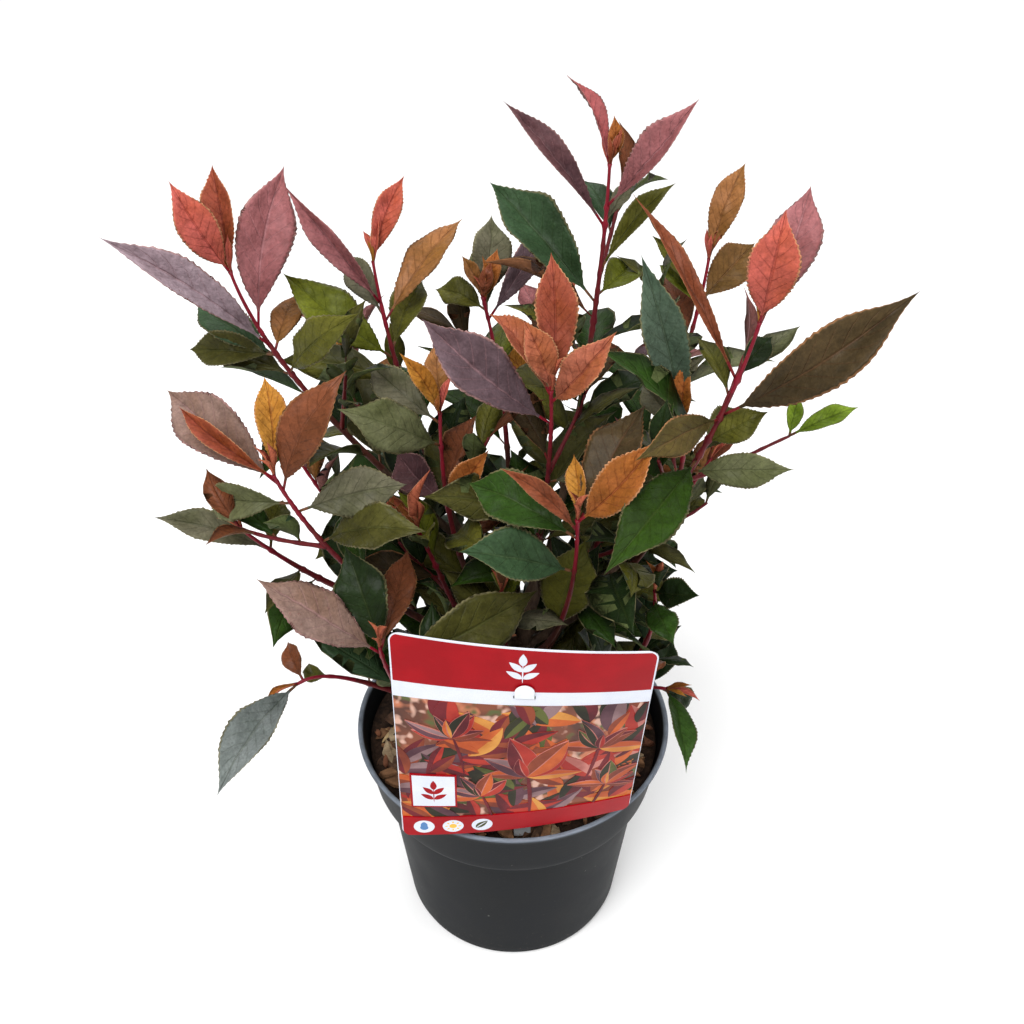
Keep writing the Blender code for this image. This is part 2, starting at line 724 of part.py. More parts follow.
def make_trunk(leader, parts, cutters, space):
    length = leader.length - mm(SHOOTS[LEADER]["leafy"]) - GAP
    bark = material("bark", (0.12, 0.06, 0.04), 0.8)
    shape = leader.tube(0, length, trunk_radius(length), TRUNK_SIDES, 12)
    add_object("trunk", *shape, bark, parts)
    space.add("limbs", *shape)
    wider = trunk_radius(length)
    cutter_shape = leader.tube(
        0, length + GAP, lambda share: wider(share) + GAP * 1.2, TRUNK_SIDES, 12
    )
    cutter = add_object("trunk_cutter", *cutter_shape, bark, cutters)
    as_cutter(cutter)
    return bark, cutter


def make_boughs(limbs, bark, trunk_cutter, parts, space):
    for name, limb in limbs.items():
        end = limb.length - mm(SHOOTS[name]["leafy"]) - GAP
        shape = limb.tube(0, end, taper(BOUGH_RADII), BOUGH_SIDES, 6)
        bough = add_object(f"bough_{name}", *shape, bark, parts)
        subtract(bough, "Seat on the trunk", trunk_cutter)
        space.add("limbs", *limb.tube(0, end, taper(ROUTE_RADII), BOUGH_SIDES, 8))


def place_masses(leader, limbs, space):
    masses = []
    for name, limb in {LEADER: leader, **limbs}.items():
        mass = Mass(name, limb, space)
        mass.grow_stem()
        masses.append(mass)
    for mass in masses:
        mass.add_leading_leaves(SHOOTS[mass.name].get("leaves", ()))
    for index, mass in enumerate(masses):
        rng = random.Random(SEED + index)
        mass.add_rule_leaves(mass.limb, rng, mass.bare, mass.leafy - 0.004, SHOOT_LEAVES)
        mass.add_twigs(rng)
    return masses


def fuse(mass, mat, parts):
    """Joins the mass's stem, twigs and leaves into one closed solid."""
    stem, *others = mass.shapes
    obj = add_object(f"foliage_{mass.name}", *stem, mat, parts)
    pieces = new_collection(f"pieces_{mass.name}")
    for shape in others:
        add_object("piece", *shape, mat, pieces)
    union = obj.modifiers.new("Union", "BOOLEAN")
    union.operation = "UNION"
    union.operand_type = "COLLECTION"
    union.collection = pieces
    graph = bpy.context.evaluated_depsgraph_get()
    fused = bpy.data.meshes.new_from_object(obj.evaluated_get(graph))
    obj.modifiers.clear()
    obj.data = fused
    for piece in list(pieces.objects):
        bpy.data.objects.remove(piece, do_unlink=True)
    bpy.data.collections.remove(pieces)


def guard(name, space, parts):
    """Keeps leaves off a made thing that is already modelled."""
    graph = bpy.context.evaluated_depsgraph_get()
    mesh = parts.objects[name].evaluated_get(graph).to_mesh()
    verts = [v.co.copy() for v in mesh.vertices]
    space.add("limbs", verts, [tuple(p.vertices) for p in mesh.polygons])


def main():
    clear_scene()
    parts = new_collection("photinia_in_pot")
    cutters = new_collection("cutters")
    drains = new_collection("drain_cutters")
    space = Space()

    make_pot(parts, drains)
    make_soil(parts, make_strip(parts, cutters))
    make_card(parts, cutters)
    for name in ("pot", "soil", "label_card", "label_strip"):
        guard(name, space, parts)

    leader = leader_limb()
    limbs = route_limbs(leader, space)
    bark, trunk_cutter = make_trunk(leader, parts, cutters, space)
    make_boughs(limbs, bark, trunk_cutter, parts, space)
    leaf = material("leaf", (0.12, 0.16, 0.05), 0.45)
    for mass in place_masses(leader, limbs, space):
        fuse(mass, leaf, parts)


main()
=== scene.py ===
# Looks for a potted red photinia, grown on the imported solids: leaves, shoots and bark, the pot,
# its bark mulch, the hanging label and the stake that holds it. Metres, +Z up, the label faces -Y.
import math
import random

import bpy
import numpy as np
from mathutils import Matrix, Vector
from mathutils.bvhtree import BVHTree


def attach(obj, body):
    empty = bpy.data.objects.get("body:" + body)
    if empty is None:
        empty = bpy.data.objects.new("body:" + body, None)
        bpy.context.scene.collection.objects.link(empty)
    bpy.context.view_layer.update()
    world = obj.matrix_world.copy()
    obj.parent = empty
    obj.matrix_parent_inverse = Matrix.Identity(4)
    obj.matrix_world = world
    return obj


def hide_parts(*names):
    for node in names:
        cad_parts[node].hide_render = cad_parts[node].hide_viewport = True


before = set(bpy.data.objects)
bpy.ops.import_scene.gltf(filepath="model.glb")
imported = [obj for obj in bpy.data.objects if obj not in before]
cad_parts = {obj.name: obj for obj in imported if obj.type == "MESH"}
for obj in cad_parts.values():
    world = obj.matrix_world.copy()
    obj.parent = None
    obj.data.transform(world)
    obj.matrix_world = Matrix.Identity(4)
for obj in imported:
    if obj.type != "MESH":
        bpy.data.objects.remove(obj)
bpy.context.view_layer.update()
scene = bpy.context.scene
scene.view_settings.view_transform = "Standard"
print("frame loaded,", len(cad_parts), "nodes")

# Small tools


def unit(v):
    return v / np.maximum(np.linalg.norm(v, axis=-1, keepdims=True), 1e-12)


def between(a, b, share):
    return a + (b - a) * share


def ease(x):  # 0 to 1, flat at both ends
    x = np.clip(x, 0, 1)
    return x * x * (3 - 2 * x)


def paint(r, g, b):  # a screen colour of 0-255 as Blender's linear one
    c = np.array([r, g, b]) / 255
    return tuple(np.where(c <= 0.04045, c / 12.92, ((c + 0.055) / 1.055) ** 2.4).tolist()) + (1,)


# quads of a grid whose vertex number is row * columns + column; ring joins the last column to
# the first one
def gridFaces(rows, columns, ring=False):
    r = np.arange(rows - 1)[:, None] * columns
    c = np.arange(columns if ring else columns - 1)[None, :]
    n = (c + 1) % columns
    return np.stack([r + c, r + n, r + columns + n, r + columns + c], -1).reshape(-1, 4)


# triangles from both ends of a tube of rings to its two poles, which stand after all the rings
def capFaces(rows, sides):
    c = np.arange(sides)
    n = (c + 1) % sides
    last, pole = (rows - 1) * sides, rows * sides
    return np.concatenate([
        np.stack([n, c, c * 0 + pole], -1), np.stack([last + c, last + n, c * 0 + pole + 1], -1)
    ])


def addObject(name, data):
    obj = bpy.data.objects.new(name, data)
    scene.collection.objects.link(obj)
    return obj


# a mesh straight from arrays: faces is a list of (n, 3) or (n, 4) index arrays, slots gives a
# number in mats for each face, uv a place for each vertex, crease the angle past which edges are
# sharp, and node the solid that the piece takes the place of; only the materials in use are kept
def makePiece(name, verts, faces, mats, slots=None, uv=None, node=None, smooth=True,
              crease=None):
    sizes = np.concatenate([np.full(len(f), f.shape[1]) for f in faces])
    corners = np.concatenate([f.ravel() for f in faces]).astype(np.int32)
    mesh = bpy.data.meshes.new(name)
    mesh.vertices.add(len(verts))
    mesh.vertices.foreach_set("co", verts.astype(np.float32).ravel())
    mesh.loops.add(len(corners))
    mesh.loops.foreach_set("vertex_index", corners)
    mesh.polygons.add(len(sizes))
    mesh.polygons.foreach_set("loop_start", np.concatenate([[0], np.cumsum(sizes)[:-1]]))
    mesh.polygons.foreach_set("use_smooth", np.full(len(sizes), smooth))
    if slots is not None:
        used, slots = np.unique(slots, return_inverse=True)
        mesh.polygons.foreach_set("material_index", slots.astype(np.int32))
        mats = [mats[k] for k in used]
    for mat in mats:
        mesh.materials.append(mat)
    if uv is not None:
        layer = mesh.uv_layers.new(name="surface")
        layer.data.foreach_set("uv", uv[corners].astype(np.float32).ravel())
    mesh.update(calc_edges=True)
    if crease:
        mesh.set_sharp_from_angle(angle=math.radians(crease))
    obj = addObject(name, mesh)
    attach(obj, "root")
    if node:
        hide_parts(node)
    return obj


# many shapes as one: each is (verts, faces, slots, uv), and each faces array has its slots array
def joinShapes(shapes):
    sizes = [len(s[0]) for s in shapes]
    starts = np.concatenate([[0], np.cumsum(sizes)[:-1]])
    faces = [f + start for s, start in zip(shapes, starts) for f in s[1]]
    slots = np.concatenate([k for s in shapes for k in s[2]])
    verts = np.concatenate([s[0] for s in shapes])
    return verts, faces, slots, np.concatenate([s[3] for s in shapes])


# the X and Y axes tipped over with Z as it turns into the direction (x, y, z):
# (1 - x x k, -x y k, -x) and (-x y k, 1 - y y k, -y) with k = 1 / (1 + z)
def squareTo(direction):
    x, y, z = np.moveaxis(direction, -1, 0)
    k = 1 / (1 + z)
    return (np.stack([1 - x * x * k, -x * y * k, -x], -1),
            np.stack([-x * y * k, 1 - y * y * k, -y], -1))


def turns(sides):
    return np.arange(sides) * 2 * np.pi / sides


# rings round a path, square to it: point + radius * (1 + relief) * (cos turn * a + sin turn * b),
# with both ends closed by a fan round the path's own end point
def tubeAlong(points, radii, sides, relief=0.0, slot=0):
    a, b = squareTo(unit(np.gradient(points, axis=0)))
    turn = turns(sides)
    ring = a[:, None] * np.cos(turn)[None, :, None] + b[:, None] * np.sin(turn)[None, :, None]
    size = np.broadcast_to(radii[:, None] * (1 + relief), (len(points), sides))
    verts = (points[:, None] + ring * size[..., None]).reshape(-1, 3)
    skin = [gridFaces(len(points), sides, ring=True), capFaces(len(points), sides)]
    along = np.linspace(0, 1, len(points))
    uv = np.stack(np.broadcast_arrays(turn[None, :] / 2 / np.pi, along[:, None]), -1).reshape(-1, 2)
    uv = np.concatenate([uv, [[0.5, 0], [0.5, 1]]])
    if np.ndim(slot) == 0:
        slot = np.full(len(points) - 1, slot)
    slots = [np.repeat(slot, sides), np.repeat([slot[0], slot[-1]], sides)]
    return np.concatenate([verts, points[[0, -1]]]), skin, slots, uv


# sums of sines that never repeat over the plant, for lumps and ridges: x, y and z are arrays
def lumps(x, y, z, size, seed):
    rng = np.random.default_rng(seed)
    total = 0
    for step in range(4):
        push = rng.normal(size=(3, 3)) * (1.6**step) / size
        lag = rng.uniform(0, 6.3, 3)
        wave = [np.sin(x * p[0] + y * p[1] + z * p[2] + g) for p, g in zip(push, lag)]
        total = total + wave[0] * wave[1] * 0.7**step + wave[2] * 0.35 * 0.7**step
    return total * 0.6


# Materials: each is one function of node sockets over a Principled shader


def newFinish(name, base, rough, specular=0.5):
    mat = bpy.data.materials.new(name)
    mat.use_nodes = True
    tree = mat.node_tree
    shader = tree.nodes["Principled BSDF"]
    shader.inputs["Base Color"].default_value = base
    shader.inputs["Roughness"].default_value = rough
    shader.inputs["Specular IOR Level"].default_value = specular
    return mat, tree, shader


# a node with its settings; inputs are given by number or name, as values or as other sockets
def put(tree, kind, ins=(), **settings):
    made = tree.nodes.new(kind)
    for key, value in settings.items():
        setattr(made, key, value)
    for key, value in dict(ins).items():
        if isinstance(value, bpy.types.NodeSocket):
            tree.links.new(value, made.inputs[key])
        else:
            made.inputs[key].default_value = value
    return made


def sums(tree, operation, a, b=0.0):
    return put(tree, "ShaderNodeMath", {0: a, 1: b}, operation=operation).outputs[0]


def times(tree, a, b):
    return sums(tree, "MULTIPLY", a, b)


def ranged(tree, value, low, high, toLow=0.0, toHigh=1.0):
    ins = {"Value": value, "From Min": low, "From Max": high, "To Min": toLow, "To Max": toHigh}
    return put(tree, "ShaderNodeMapRange", ins).outputs[0]


# a over b by that share; with MULTIPLY and a share of 1 their product
def mixed(tree, share, a, b, blend="MIX"):
    made = put(tree, "ShaderNodeMix", {"Factor": share}, data_type="RGBA", blend_type=blend)
    for socket, value in ((made.inputs[6], a), (made.inputs[7], b)):
        if isinstance(value, bpy.types.NodeSocket):
            tree.links.new(value, socket)
        else:
            socket.default_value = value
    return made.outputs[2]


def objectPlace(tree, scale=(1, 1, 1)):
    where = put(tree, "ShaderNodeTexCoord").outputs["Object"]
    return put(tree, "ShaderNodeMapping", {"Vector": where, "Scale": scale}).outputs[0]


def noise(tree, place, scale, detail=3.0, rough=0.5):
    ins = {"Vector": place, "Scale": scale, "Detail": detail, "Roughness": rough}
    return put(tree, "ShaderNodeTexNoise", ins).outputs["Fac"]


def finished(tree, shader, body, height, strength, distance):  # its colour and its bump
    tree.links.new(body, shader.inputs["Base Color"])
    ins = {"Height": height, "Strength": strength, "Distance": distance}
    tree.links.new(put(tree, "ShaderNodeBump", ins).outputs[0], shader.inputs["Normal"])


def shade(c, share):  # the same colour, darker or lighter
    return tuple(min(x * share, 1) for x in c[:3]) + (1,)


# one side of a leaf: two colours clouded into each other, more of the darker second on one half as
# painted shade of the fold, and paler towards the tip; a midrib and side veins as slanted lines of
# the surface map (place along less a share of the way to the edge), pale tooth tips, dark specks
# and a crumpled, leathery grain
def leafFinish(name, base, other, veinColour, rimColour, rough, veinShare, coat):
    mat, tree, shader = newFinish(name, base, rough, 0.08)
    shader.inputs["Coat Weight"].default_value = coat
    shader.inputs["Coat Roughness"].default_value = 0.24
    place = objectPlace(tree)
    split = put(tree, "ShaderNodeSeparateXYZ", {0: put(tree, "ShaderNodeUVMap").outputs[0]})
    across, along = split.outputs[0], split.outputs[1]
    cloud = ranged(tree, noise(tree, place, 60.0, 4.0, 0.6), 0.36, 0.64, 0.0, 0.65)
    # painted shade: one half of every leaf takes more of the darker second colour, as if its fold shaded
    # it
    cloud = sums(tree, "ADD", cloud, ranged(tree, across, 0.48, 0.52, 0.35, 0.0))
    grain = noise(tree, place, 760.0, 4.0, 0.65)
    crumple = noise(tree, place, 210.0, 3.0, 0.6)
    away = sums(tree, "ABSOLUTE", sums(tree, "SUBTRACT", times(tree, across, 2.0), 1.0))
    phase = sums(tree, "SUBTRACT", times(tree, along, 9.0), times(tree, away, 1.9))
    line = ranged(tree, sums(tree, "PINGPONG", phase, 0.5), 0.0, 0.085, 1.0, 0.0)
    spine = ranged(tree, away, 0.015, 0.075, 1.0, 0.0)
    thin = sums(tree, "SUBTRACT", 0.65, times(tree, sums(tree, "POWER", away, 3.0), 0.65))
    vein = sums(tree, "MAXIMUM", times(tree, line, thin), spine)
    body = mixed(tree, cloud, base, other)
    body = mixed(tree, times(tree, vein, veinShare), body, veinColour)
    body = mixed(tree, ranged(tree, away, 0.90, 0.97, 0.0, 0.85), body, rimColour)
    body = mixed(tree, 1.0, body, ranged(tree, along, 0.0, 1.0, 0.72, 1.14), "MULTIPLY")
    body = mixed(tree, 1.0, body, ranged(tree, grain, 0.25, 0.75, 0.74, 1.20), "MULTIPLY")
    body = mixed(tree, 1.0, body, ranged(tree, crumple, 0.3, 0.7, 0.80, 1.16), "MULTIPLY")
    specks = ranged(tree, noise(tree, place, 1100.0, 2.0), 0.67, 0.74, 0.0, 0.4)
    body = mixed(tree, specks, body, shade(base, 0.35))
    patch = noise(tree, place, 160.0, 3.0)
    tree.links.new(ranged(tree, patch, 0.3, 0.7, rough - 0.08, rough + 0.12), shader.inputs["Roughness"])
    relief = sums(tree, "SUBTRACT", times(tree, grain, 0.5), vein)
    relief = sums(tree, "ADD", relief, times(tree, crumple, 2.2))
    finished(tree, shader, body, relief, 0.75, 0.0006)
    return mat


# a stalk, stem or bark: two colours in long streaks, darker specks, and a bump along the streaks
def barkFinish(name, base, other, rough, streak, depth):
    mat, tree, shader = newFinish(name, base, rough, 0.2)
    place = objectPlace(tree, (1, 1, streak))
    long = noise(tree, place, 420.0, 4.0, 0.6)
    specks = ranged(tree, noise(tree, objectPlace(tree), 1300.0, 2.0), 0.60, 0.72)
    body = mixed(tree, ranged(tree, long, 0.35, 0.65), base, other)
    body = mixed(tree, times(tree, specks, 0.5), body, shade(base, 0.4))
    finished(tree, shader, body, long, 0.6, depth)
    return mat


# The crown

# Each shoot in millimetres and degrees: its tip, the tip's lean (heading from +X, rise) and how long
# it is leafy; where given, the size of its leaves, how long its tip runs straight, and how far below
# the tip it is bare of the rule's leaves and of its twigs. Its leading leaves are (down from the
# tip, heading, rise, length, width, tint); sprays are thin side twigs with leaves at their end, as
# (down, heading, rise, length, leaves without the down).
shoots = {
    "centre": {
        "tip": (17, -40, 396), "lean": (250, 80), "leafy": 140,
        "leaves": ((0, 90, 55, 64, 19, "ember"), (0, 170, 70, 37, 15, "peach"),
                   (6, -20, 55, 50, 17, "peach"), (19, 176, 42, 78, 27, "dusk"),
                   (3, 130, 30, 52, 14, "peach")),
    },
    "top": {
        "tip": (45, 35, 475), "lean": (85, 80), "leafy": 125, "bare": 75,
        "leaves": ((29, 148, 42, 77, 12, "plum"), (0, 134, 51, 46, 9, "pink"),
                   (0, 80, 63, 23, 8, "orange"), (19, -20, 54, 66, 16, "rose"),
                   (26, 55, 28, 26, 8, "grey"), (50, 30, 41, 56, 11, "olive"),
                   (66, 138, 32, 84, 27, "teal"), (62, 52, 13, 34, 18, "fresh")),
    },
    "upper_left": {
        "tip": (-135, 15, 430), "lean": (135, 67), "leafy": 115, "bare": 60, "twigFrom": 98,
        "leaves": ((0, 185, 65, 50, 18, "coral"), (0, 107, 57, 52, 14, "ember"),
                   (29, 73, 57, 80, 27, "rose"), (41, 197, 44, 94, 17, "mauve"),
                   (47, 142, 11, 62, 22, "teal"), (56, -30, 44, 62, 20, "olive"),
                   (43, 80, 20, 45, 16, "tan"),
                   (45, 158, -3, 50, 18, "moss")),
    },
    "back_left": {
        "tip": (-70, 40, 425), "lean": (112, 70), "leafy": 115, "bare": 64, "twigFrom": 96,
        "leaves": ((0, 56, 52, 46, 13, "coral"), (21, 185, 57, 74, 12, "rose"),
                   (50, 172, 40, 70, 26, "fresh"),
                   (30, 50, 33, 72, 20, "tan"), (27, 129, 32, 42, 16, "grey"),
                   (45, 68, 32, 45, 18, "olive")),
    },
    "right": {
        "tip": (105, -50, 435), "lean": (30, 76), "leafy": 120, "bare": 72,
        "leaves": ((0, 20, 84, 50, 21, "coral"), (3, 56, 52, 66, 22, "rose"),
                   (28, 128, 43, 98, 8, "copper"), (46, -4, 40, 98, 24, "umber"),
                   (48, 212, 0, 50, 17, "khaki"), (26, 51, 18, 30, 12, "dark"),
                   (80, 338, 16, 48, 17, "sage"), (62, 348, 38, 32, 15, "olive"),
                   (69, 49, 13, 40, 18, "moss"), (72, 236, -8, 84, 25, "bright")),
        "sprays": ((88, 22, 12, 58, ((8, 23, 36, 10, "lime"), (66, 60, 21, 8, "lime"))),),
    },
    "back_right": {
        "tip": (100, 55, 420), "lean": (68, 74), "leafy": 110,
        "leaves": ((0, 52, 56, 52, 15, "tan"), (24, 123, 19, 36, 8, "fresh"),
                   (22, 131, 36, 45, 9, "olive"), (22, 38, 32, 46, 21, "hazel")),
    },
    "mid_right": {
        "tip": (79, -20, 380), "lean": (160, 72), "leafy": 90,
        "leaves": ((11, 168, 73, 86, 20, "slate"), (14, 51, 86, 40, 10, "orange"),
                   (16, 122, 16, 36, 16, "grey"), (1, 128, 14, 30, 11, "tan")),
    },
    "back_centre": {
        "tip": (-17, 85, 385), "lean": (140, 70), "leafy": 100,
        "leaves": ((4, 84, 50, 52, 24, "grey"), (9, 98, 39, 50, 16, "sage"),
                   (2, 61, 52, 30, 10, "orange"), (7, 146, 12, 34, 18, "olive"),
                   (0, 127, 48, 26, 8, "tan"), (0, 22, 76, 22, 8, "copper"),
                   (12, 36, 42, 67, 15, "dusk")),
    },
    "mid_left": {
        "tip": (-107, -70, 370), "lean": (219, 72), "leafy": 100, "bare": 86,
        "leaves": ((6, 145, 22, 75, 26, "taupe"), (0, 101, 49, 46, 14, "gold"),
                   (2, 154, 27, 56, 9, "ember"), (10, 15, 60, 66, 22, "bronze"),
                   (18, 160, -11, 50, 18, "sage"), (24, 14, 8, 52, 24, "grey"),
                   (47, -23, 29, 60, 22, "moss")),
    },
    "mid_centre": {
        "tip": (-36, -10, 367), "lean": (80, 80), "leafy": 100,
        "leaves": ((0, 95, 47, 38, 13, "tan"), (1, 183, 63, 40, 10, "gold"),
                   (51, 0, 57, 40, 14, "orange"), (51, 135, 21, 42, 20, "plum"),
                   (17, 206, 35, 60, 26, "sage"), (5, 148, 28, 50, 18, "grey")),
    },
    "front": {
        "tip": (29, -75, 349), "lean": (255, 80), "leafy": 115, "bare": 98, "twigFrom": 112,
        "leaves": ((0, 3, 52, 54, 19, "orange"), (0, 93, 41, 32, 10, "gold"),
                   (7, 178, 45, 48, 9, "copper"), (3, 48, 43, 65, 25, "umber"),
                   (12, 150, 11, 60, 26, "leaf"), (97, 34, 72, 56, 30, "olive"),
                   (36, 194, 22, 60, 26, "teal")),
    },
    "far_left": {
        "tip": (-131, -55, 330), "lean": (200, 55), "leafy": 65,
        "leaves": ((22, 182, 22, 58, 15, "grey"), (0, 119, 1, 18, 6, "orange"),
                   (21, 88, 13, 35, 14, "olive")),
    },
    "low_left": {
        "tip": (-64, -88, 283), "lean": (262, 74), "leafy": 70,
        "leaves": ((5, 172, 35, 70, 26, "taupe"), (6, 120, 50, 56, 26, "dark"),
                   (0, 92, 40, 30, 13, "tan"), (2, 78, 24, 56, 17, "bronze"),
                   (18, 29, 17, 85, 30, "moss")),
    },
    "low_right": {
        "tip": (72, -45, 283), "lean": (215, 80), "leafy": 95, "size": 0.75,
        "leaves": ((0, -53, 30, 34, 16, "dark"), (7, -80, 1, 34, 16, "leaf"),
                   (39, 61, -15, 24, 14, "olive")),
    },
    "drooping": {
        "tip": (-114, -60, 231), "lean": (200, -30), "leafy": 60, "straight": 30,
        "leaves": ((0, 245, -8, 72, 23, "silver"), (18, 153, -15, 20, 10, "olive"),
                   (3, 118, 23, 25, 12, "bronze")),
    },
    "low_edge": {
        "tip": (87, -31, 199), "lean": (-25, 8), "leafy": 45, "straight": 30, "size": 0.7,
        "leaves": ((0, -85, -3, 56, 15, "leaf"), (3, 22, -38, 30, 15, "dark"),
                   (10, 60, 25, 34, 14, "dark")),
    },
    "rear": {"tip": (20, 130, 345), "lean": (85, 60), "leafy": 105},
    "rear_left": {"tip": (-95, 95, 345), "lean": (130, 62), "leafy": 105},
    "rear_right": {"tip": (90, 115, 345), "lean": (50, 62), "leafy": 105},
    "side_left": {"tip": (-122, 45, 305), "lean": (165, 60), "leafy": 90, "size": 0.85},
    "side_right": {"tip": (112, 45, 305), "lean": (10, 60), "leafy": 90, "size": 0.85},
    "inner_left": {"tip": (-48, -38, 318), "lean": (225, 70), "leafy": 85},
    "inner_right": {"tip": (58, -5, 322), "lean": (0, 72), "leafy": 85},
    "low_front": {"tip": (-6, -52, 288), "lean": (265, 72), "leafy": 85},
}

# The branching rule, in metres and radians, but bare in millimetres as in the shoots.
# Open says where the rule's own leaves don't end: beyond an x on one side (1 or -1), below a height,
# in front of openTo. Tries are (heading, rise, size) for a leading leaf and (turn, opening, size)
# for one of the rule's.
rule = {
    "seed": 41, "goldenTurn": math.radians(137.5), "internodes": (0.009, 0.015), "old": 0.070,
    "spreads": (math.radians(30), math.radians(66)), "jitter": math.radians(8),
    "shootLeaves": (0.040, 0.064), "twigLeaves": (0.034, 0.050), "bare": 45, "widthShare": 0.38,
    "sizes": (0.88, 1.1), "faceLean": 0.4, "stop": 0.004,
    "clearance": 0.0007, "lowest": 0.006, "rootDepth": 0.001,
    "open": ((0.098, 1.0, 0.385), (-0.120, -1.0, 0.335)), "openTo": 0.06,
    "leadTries": ((0, 0, 1), (7, 0, 1), (-7, 0, 1), (0, 7, 1), (0, -7, 1), (12, 6, 1),
                  (-12, 6, 1), (12, -8, 1), (-12, -8, 1), (0, 0, 0.85), (14, 0, 0.8),
                  (-14, 0, 0.8)),
    "ruleTries": ((0, 0, 1), (0.6, -0.1, 0.92), (-0.6, 0.1, 0.92), (1.3, 0, 0.85), (3.1, 0, 0.8)),
}
# the side twigs, in metres but from in millimetres; bends, lift, roomFrom and leafyShare are shares
# of a twig's length
twigSizes = {
    "length": 0.036, "lengths": (0.85, 1.15), "spread": math.radians(46), "from": 52,
    "every": 0.046, "turns": (0, 1.2, -1.2), "stop": 0.008, "lift": 0.12, "bends": (0.4, 0.7),
    "sag": 0.003, "room": 0.002, "roomFrom": 0.2, "leafyShare": 0.75, "firstLeaf": 0.001,
    "radii": (0.0013, 0.0008), "stations": 16, "sides": 8, "ripple": (0.12, 0.0016), "slot": 1,
}
# the limbs, in metres but straight in millimetres and the turns in degrees; gap is left between
# a bough's solid and its shoot's
limbSizes = {
    "leader": "centre", "ground": (0, 0, 0.1323), "straight": 75, "firstRise": 0.060,
    "trunk": (0.0056, 0.0040), "flare": 0.0045, "flareHeight": 0.014,
    "bough": (0.0027, 0.0021), "stem": (0.0021, 0.0013), "twig": (0.0017, 0.0014), "gap": 0.0003,
    "forks": (0.144, 0.236), "shifts": (0, 0.006, -0.006, 0.012, -0.012), "elbow": 0.022,
    "run": 0.42, "climb": 0.22, "leastRise": 0.008,
    "room": (0.0032, 0.0024), "turns": (0, 12, -12, 24, -24, 36, -36, 50, -50, 65, -65, 80, -80),
}
# a leaf's solid: its sections as (place along, share of the width), and the way its face looks
leafSizes = {
    "stations": ((0.0, 0.0), (0.34, 0.90), (0.68, 0.74)), "petiole": 0.0005, "keel": 0.0009,
    "bow": 0.07, "light": (0, -0.75, 0.75),
}
up = np.array((0, 0, 1.0))


def aim(heading, rise):  # a direction from degrees
    heading, rise = math.radians(heading), math.radians(rise)
    flat = math.cos(rise)
    return np.array((flat * math.cos(heading), flat * math.sin(heading), math.sin(rise)))


# a limb is a cubic curve: (1-t)^3 a + 3(1-t)^2 t b + 3(1-t) t^2 c + t^3 d, measured along itself
def makeLimb(a, b, c, d):
    limb = {"ends": np.array((a, b, c, d))}
    t = np.linspace(0, 1, 61)
    points = curveAt(limb, t)
    steps = np.linalg.norm(np.diff(points, axis=0), axis=1)
    limb["t"], limb["points"] = t, points
    limb["reach"] = np.concatenate([[0], np.cumsum(steps)])
    limb["length"] = limb["reach"][-1]
    return limb


def curveAt(limb, t):
    t = np.asarray(t)[..., None]
    a, b, c, d = limb["ends"]
    return a * (1 - t)**3 + b * 3 * (1 - t)**2 * t + c * 3 * (1 - t) * t**2 + d * t**3


def placeOn(limb, distance):  # points and directions at distances from the limb's start
    t = np.interp(distance, limb["reach"], limb["t"])
    a, b, c, d = limb["ends"]
    s = np.asarray(t)[..., None]
    along = (b - a) * (1 - s)**2 + (c - b) * 2 * (1 - s) * s + (d - c) * s**2
    return curveAt(limb, t), unit(along)


# plain skin over a stretch of a limb, for keeping room: returns vertices and face lists
def roomTube(limb, begin, end, radii, sides, rings):
    points, along = placeOn(limb, np.linspace(begin, end, rings + 1))
    a, b = (way[:, None] for way in squareTo(along))
    turn = turns(sides)[None, :, None]
    size = np.linspace(*radii, rings + 1)[:, None, None]
    verts = (points[:, None] + (a * np.cos(turn) + b * np.sin(turn)) * size).reshape(-1, 3)
    faces = gridFaces(rings + 1, sides, ring=True).tolist()
    faces += [list(range(sides))[::-1], list(range(rings * sides, (rings + 1) * sides))]
    return verts, faces


# a leaf's room: keeled sections from the first one that counts and a point, grown all round by the
# clearance, on a middle line that bows up as 4 bow s (1 - s)
def roomLeaf(root, along, face, length, width, grow, first):
    normal = unit(face - along * (face @ along))
    side = np.cross(normal, along)
    share, wide = np.array(leafSizes["stations"][first:]).T
    bow = leafSizes["bow"]
    bowed = np.outer(bow * length * 4 * share * (1 - share), normal)
    middle = root + np.outer(length * share, along) + bowed
    top = unit(normal - np.outer(4 * bow * (1 - 2 * share), along))
    half = (np.maximum(leafSizes["petiole"], wide * width / 2) + grow)[:, None]
    keel = between(leafSizes["petiole"], leafSizes["keel"], np.minimum(share * 4, 1)) + grow
    ring = np.stack([middle + side * half + top * grow, middle - side * half + top * grow,
                     middle - top * keel[:, None]], 1)
    verts = np.concatenate([ring.reshape(-1, 3), [root + along * (length + grow)]])
    last = 3 * (len(share) - 1)
    faces = gridFaces(len(share), 3, ring=True).tolist() + [[2, 1, 0]]
    faces += [[last + k, last + (k + 1) % 3, last + 3] for k in range(3)]
    return verts, faces


space = []  # all that stands somewhere: (owner, low corner, high corner, tree)


def takeRoom(taken, owner, verts, faces):
    taken.append((owner, verts.min(0), verts.max(0), BVHTree.FromPolygons(verts.tolist(), faces)))


# whether a shape cuts into what its owner has (own) or what all the others have, but the spared ones
def meets(taken, verts, faces, owner, own, spare=()):
    low, high, tree = verts.min(0), verts.max(0), None
    for other, otherLow, otherHigh, otherTree in taken:
        if (other == owner) != own or other in spare:
            continue
        if (low > otherHigh).any() or (high < otherLow).any():
            continue
        tree = tree or BVHTree.FromPolygons(verts.tolist(), faces)
        if tree.overlap(otherTree):
            return True
    return False


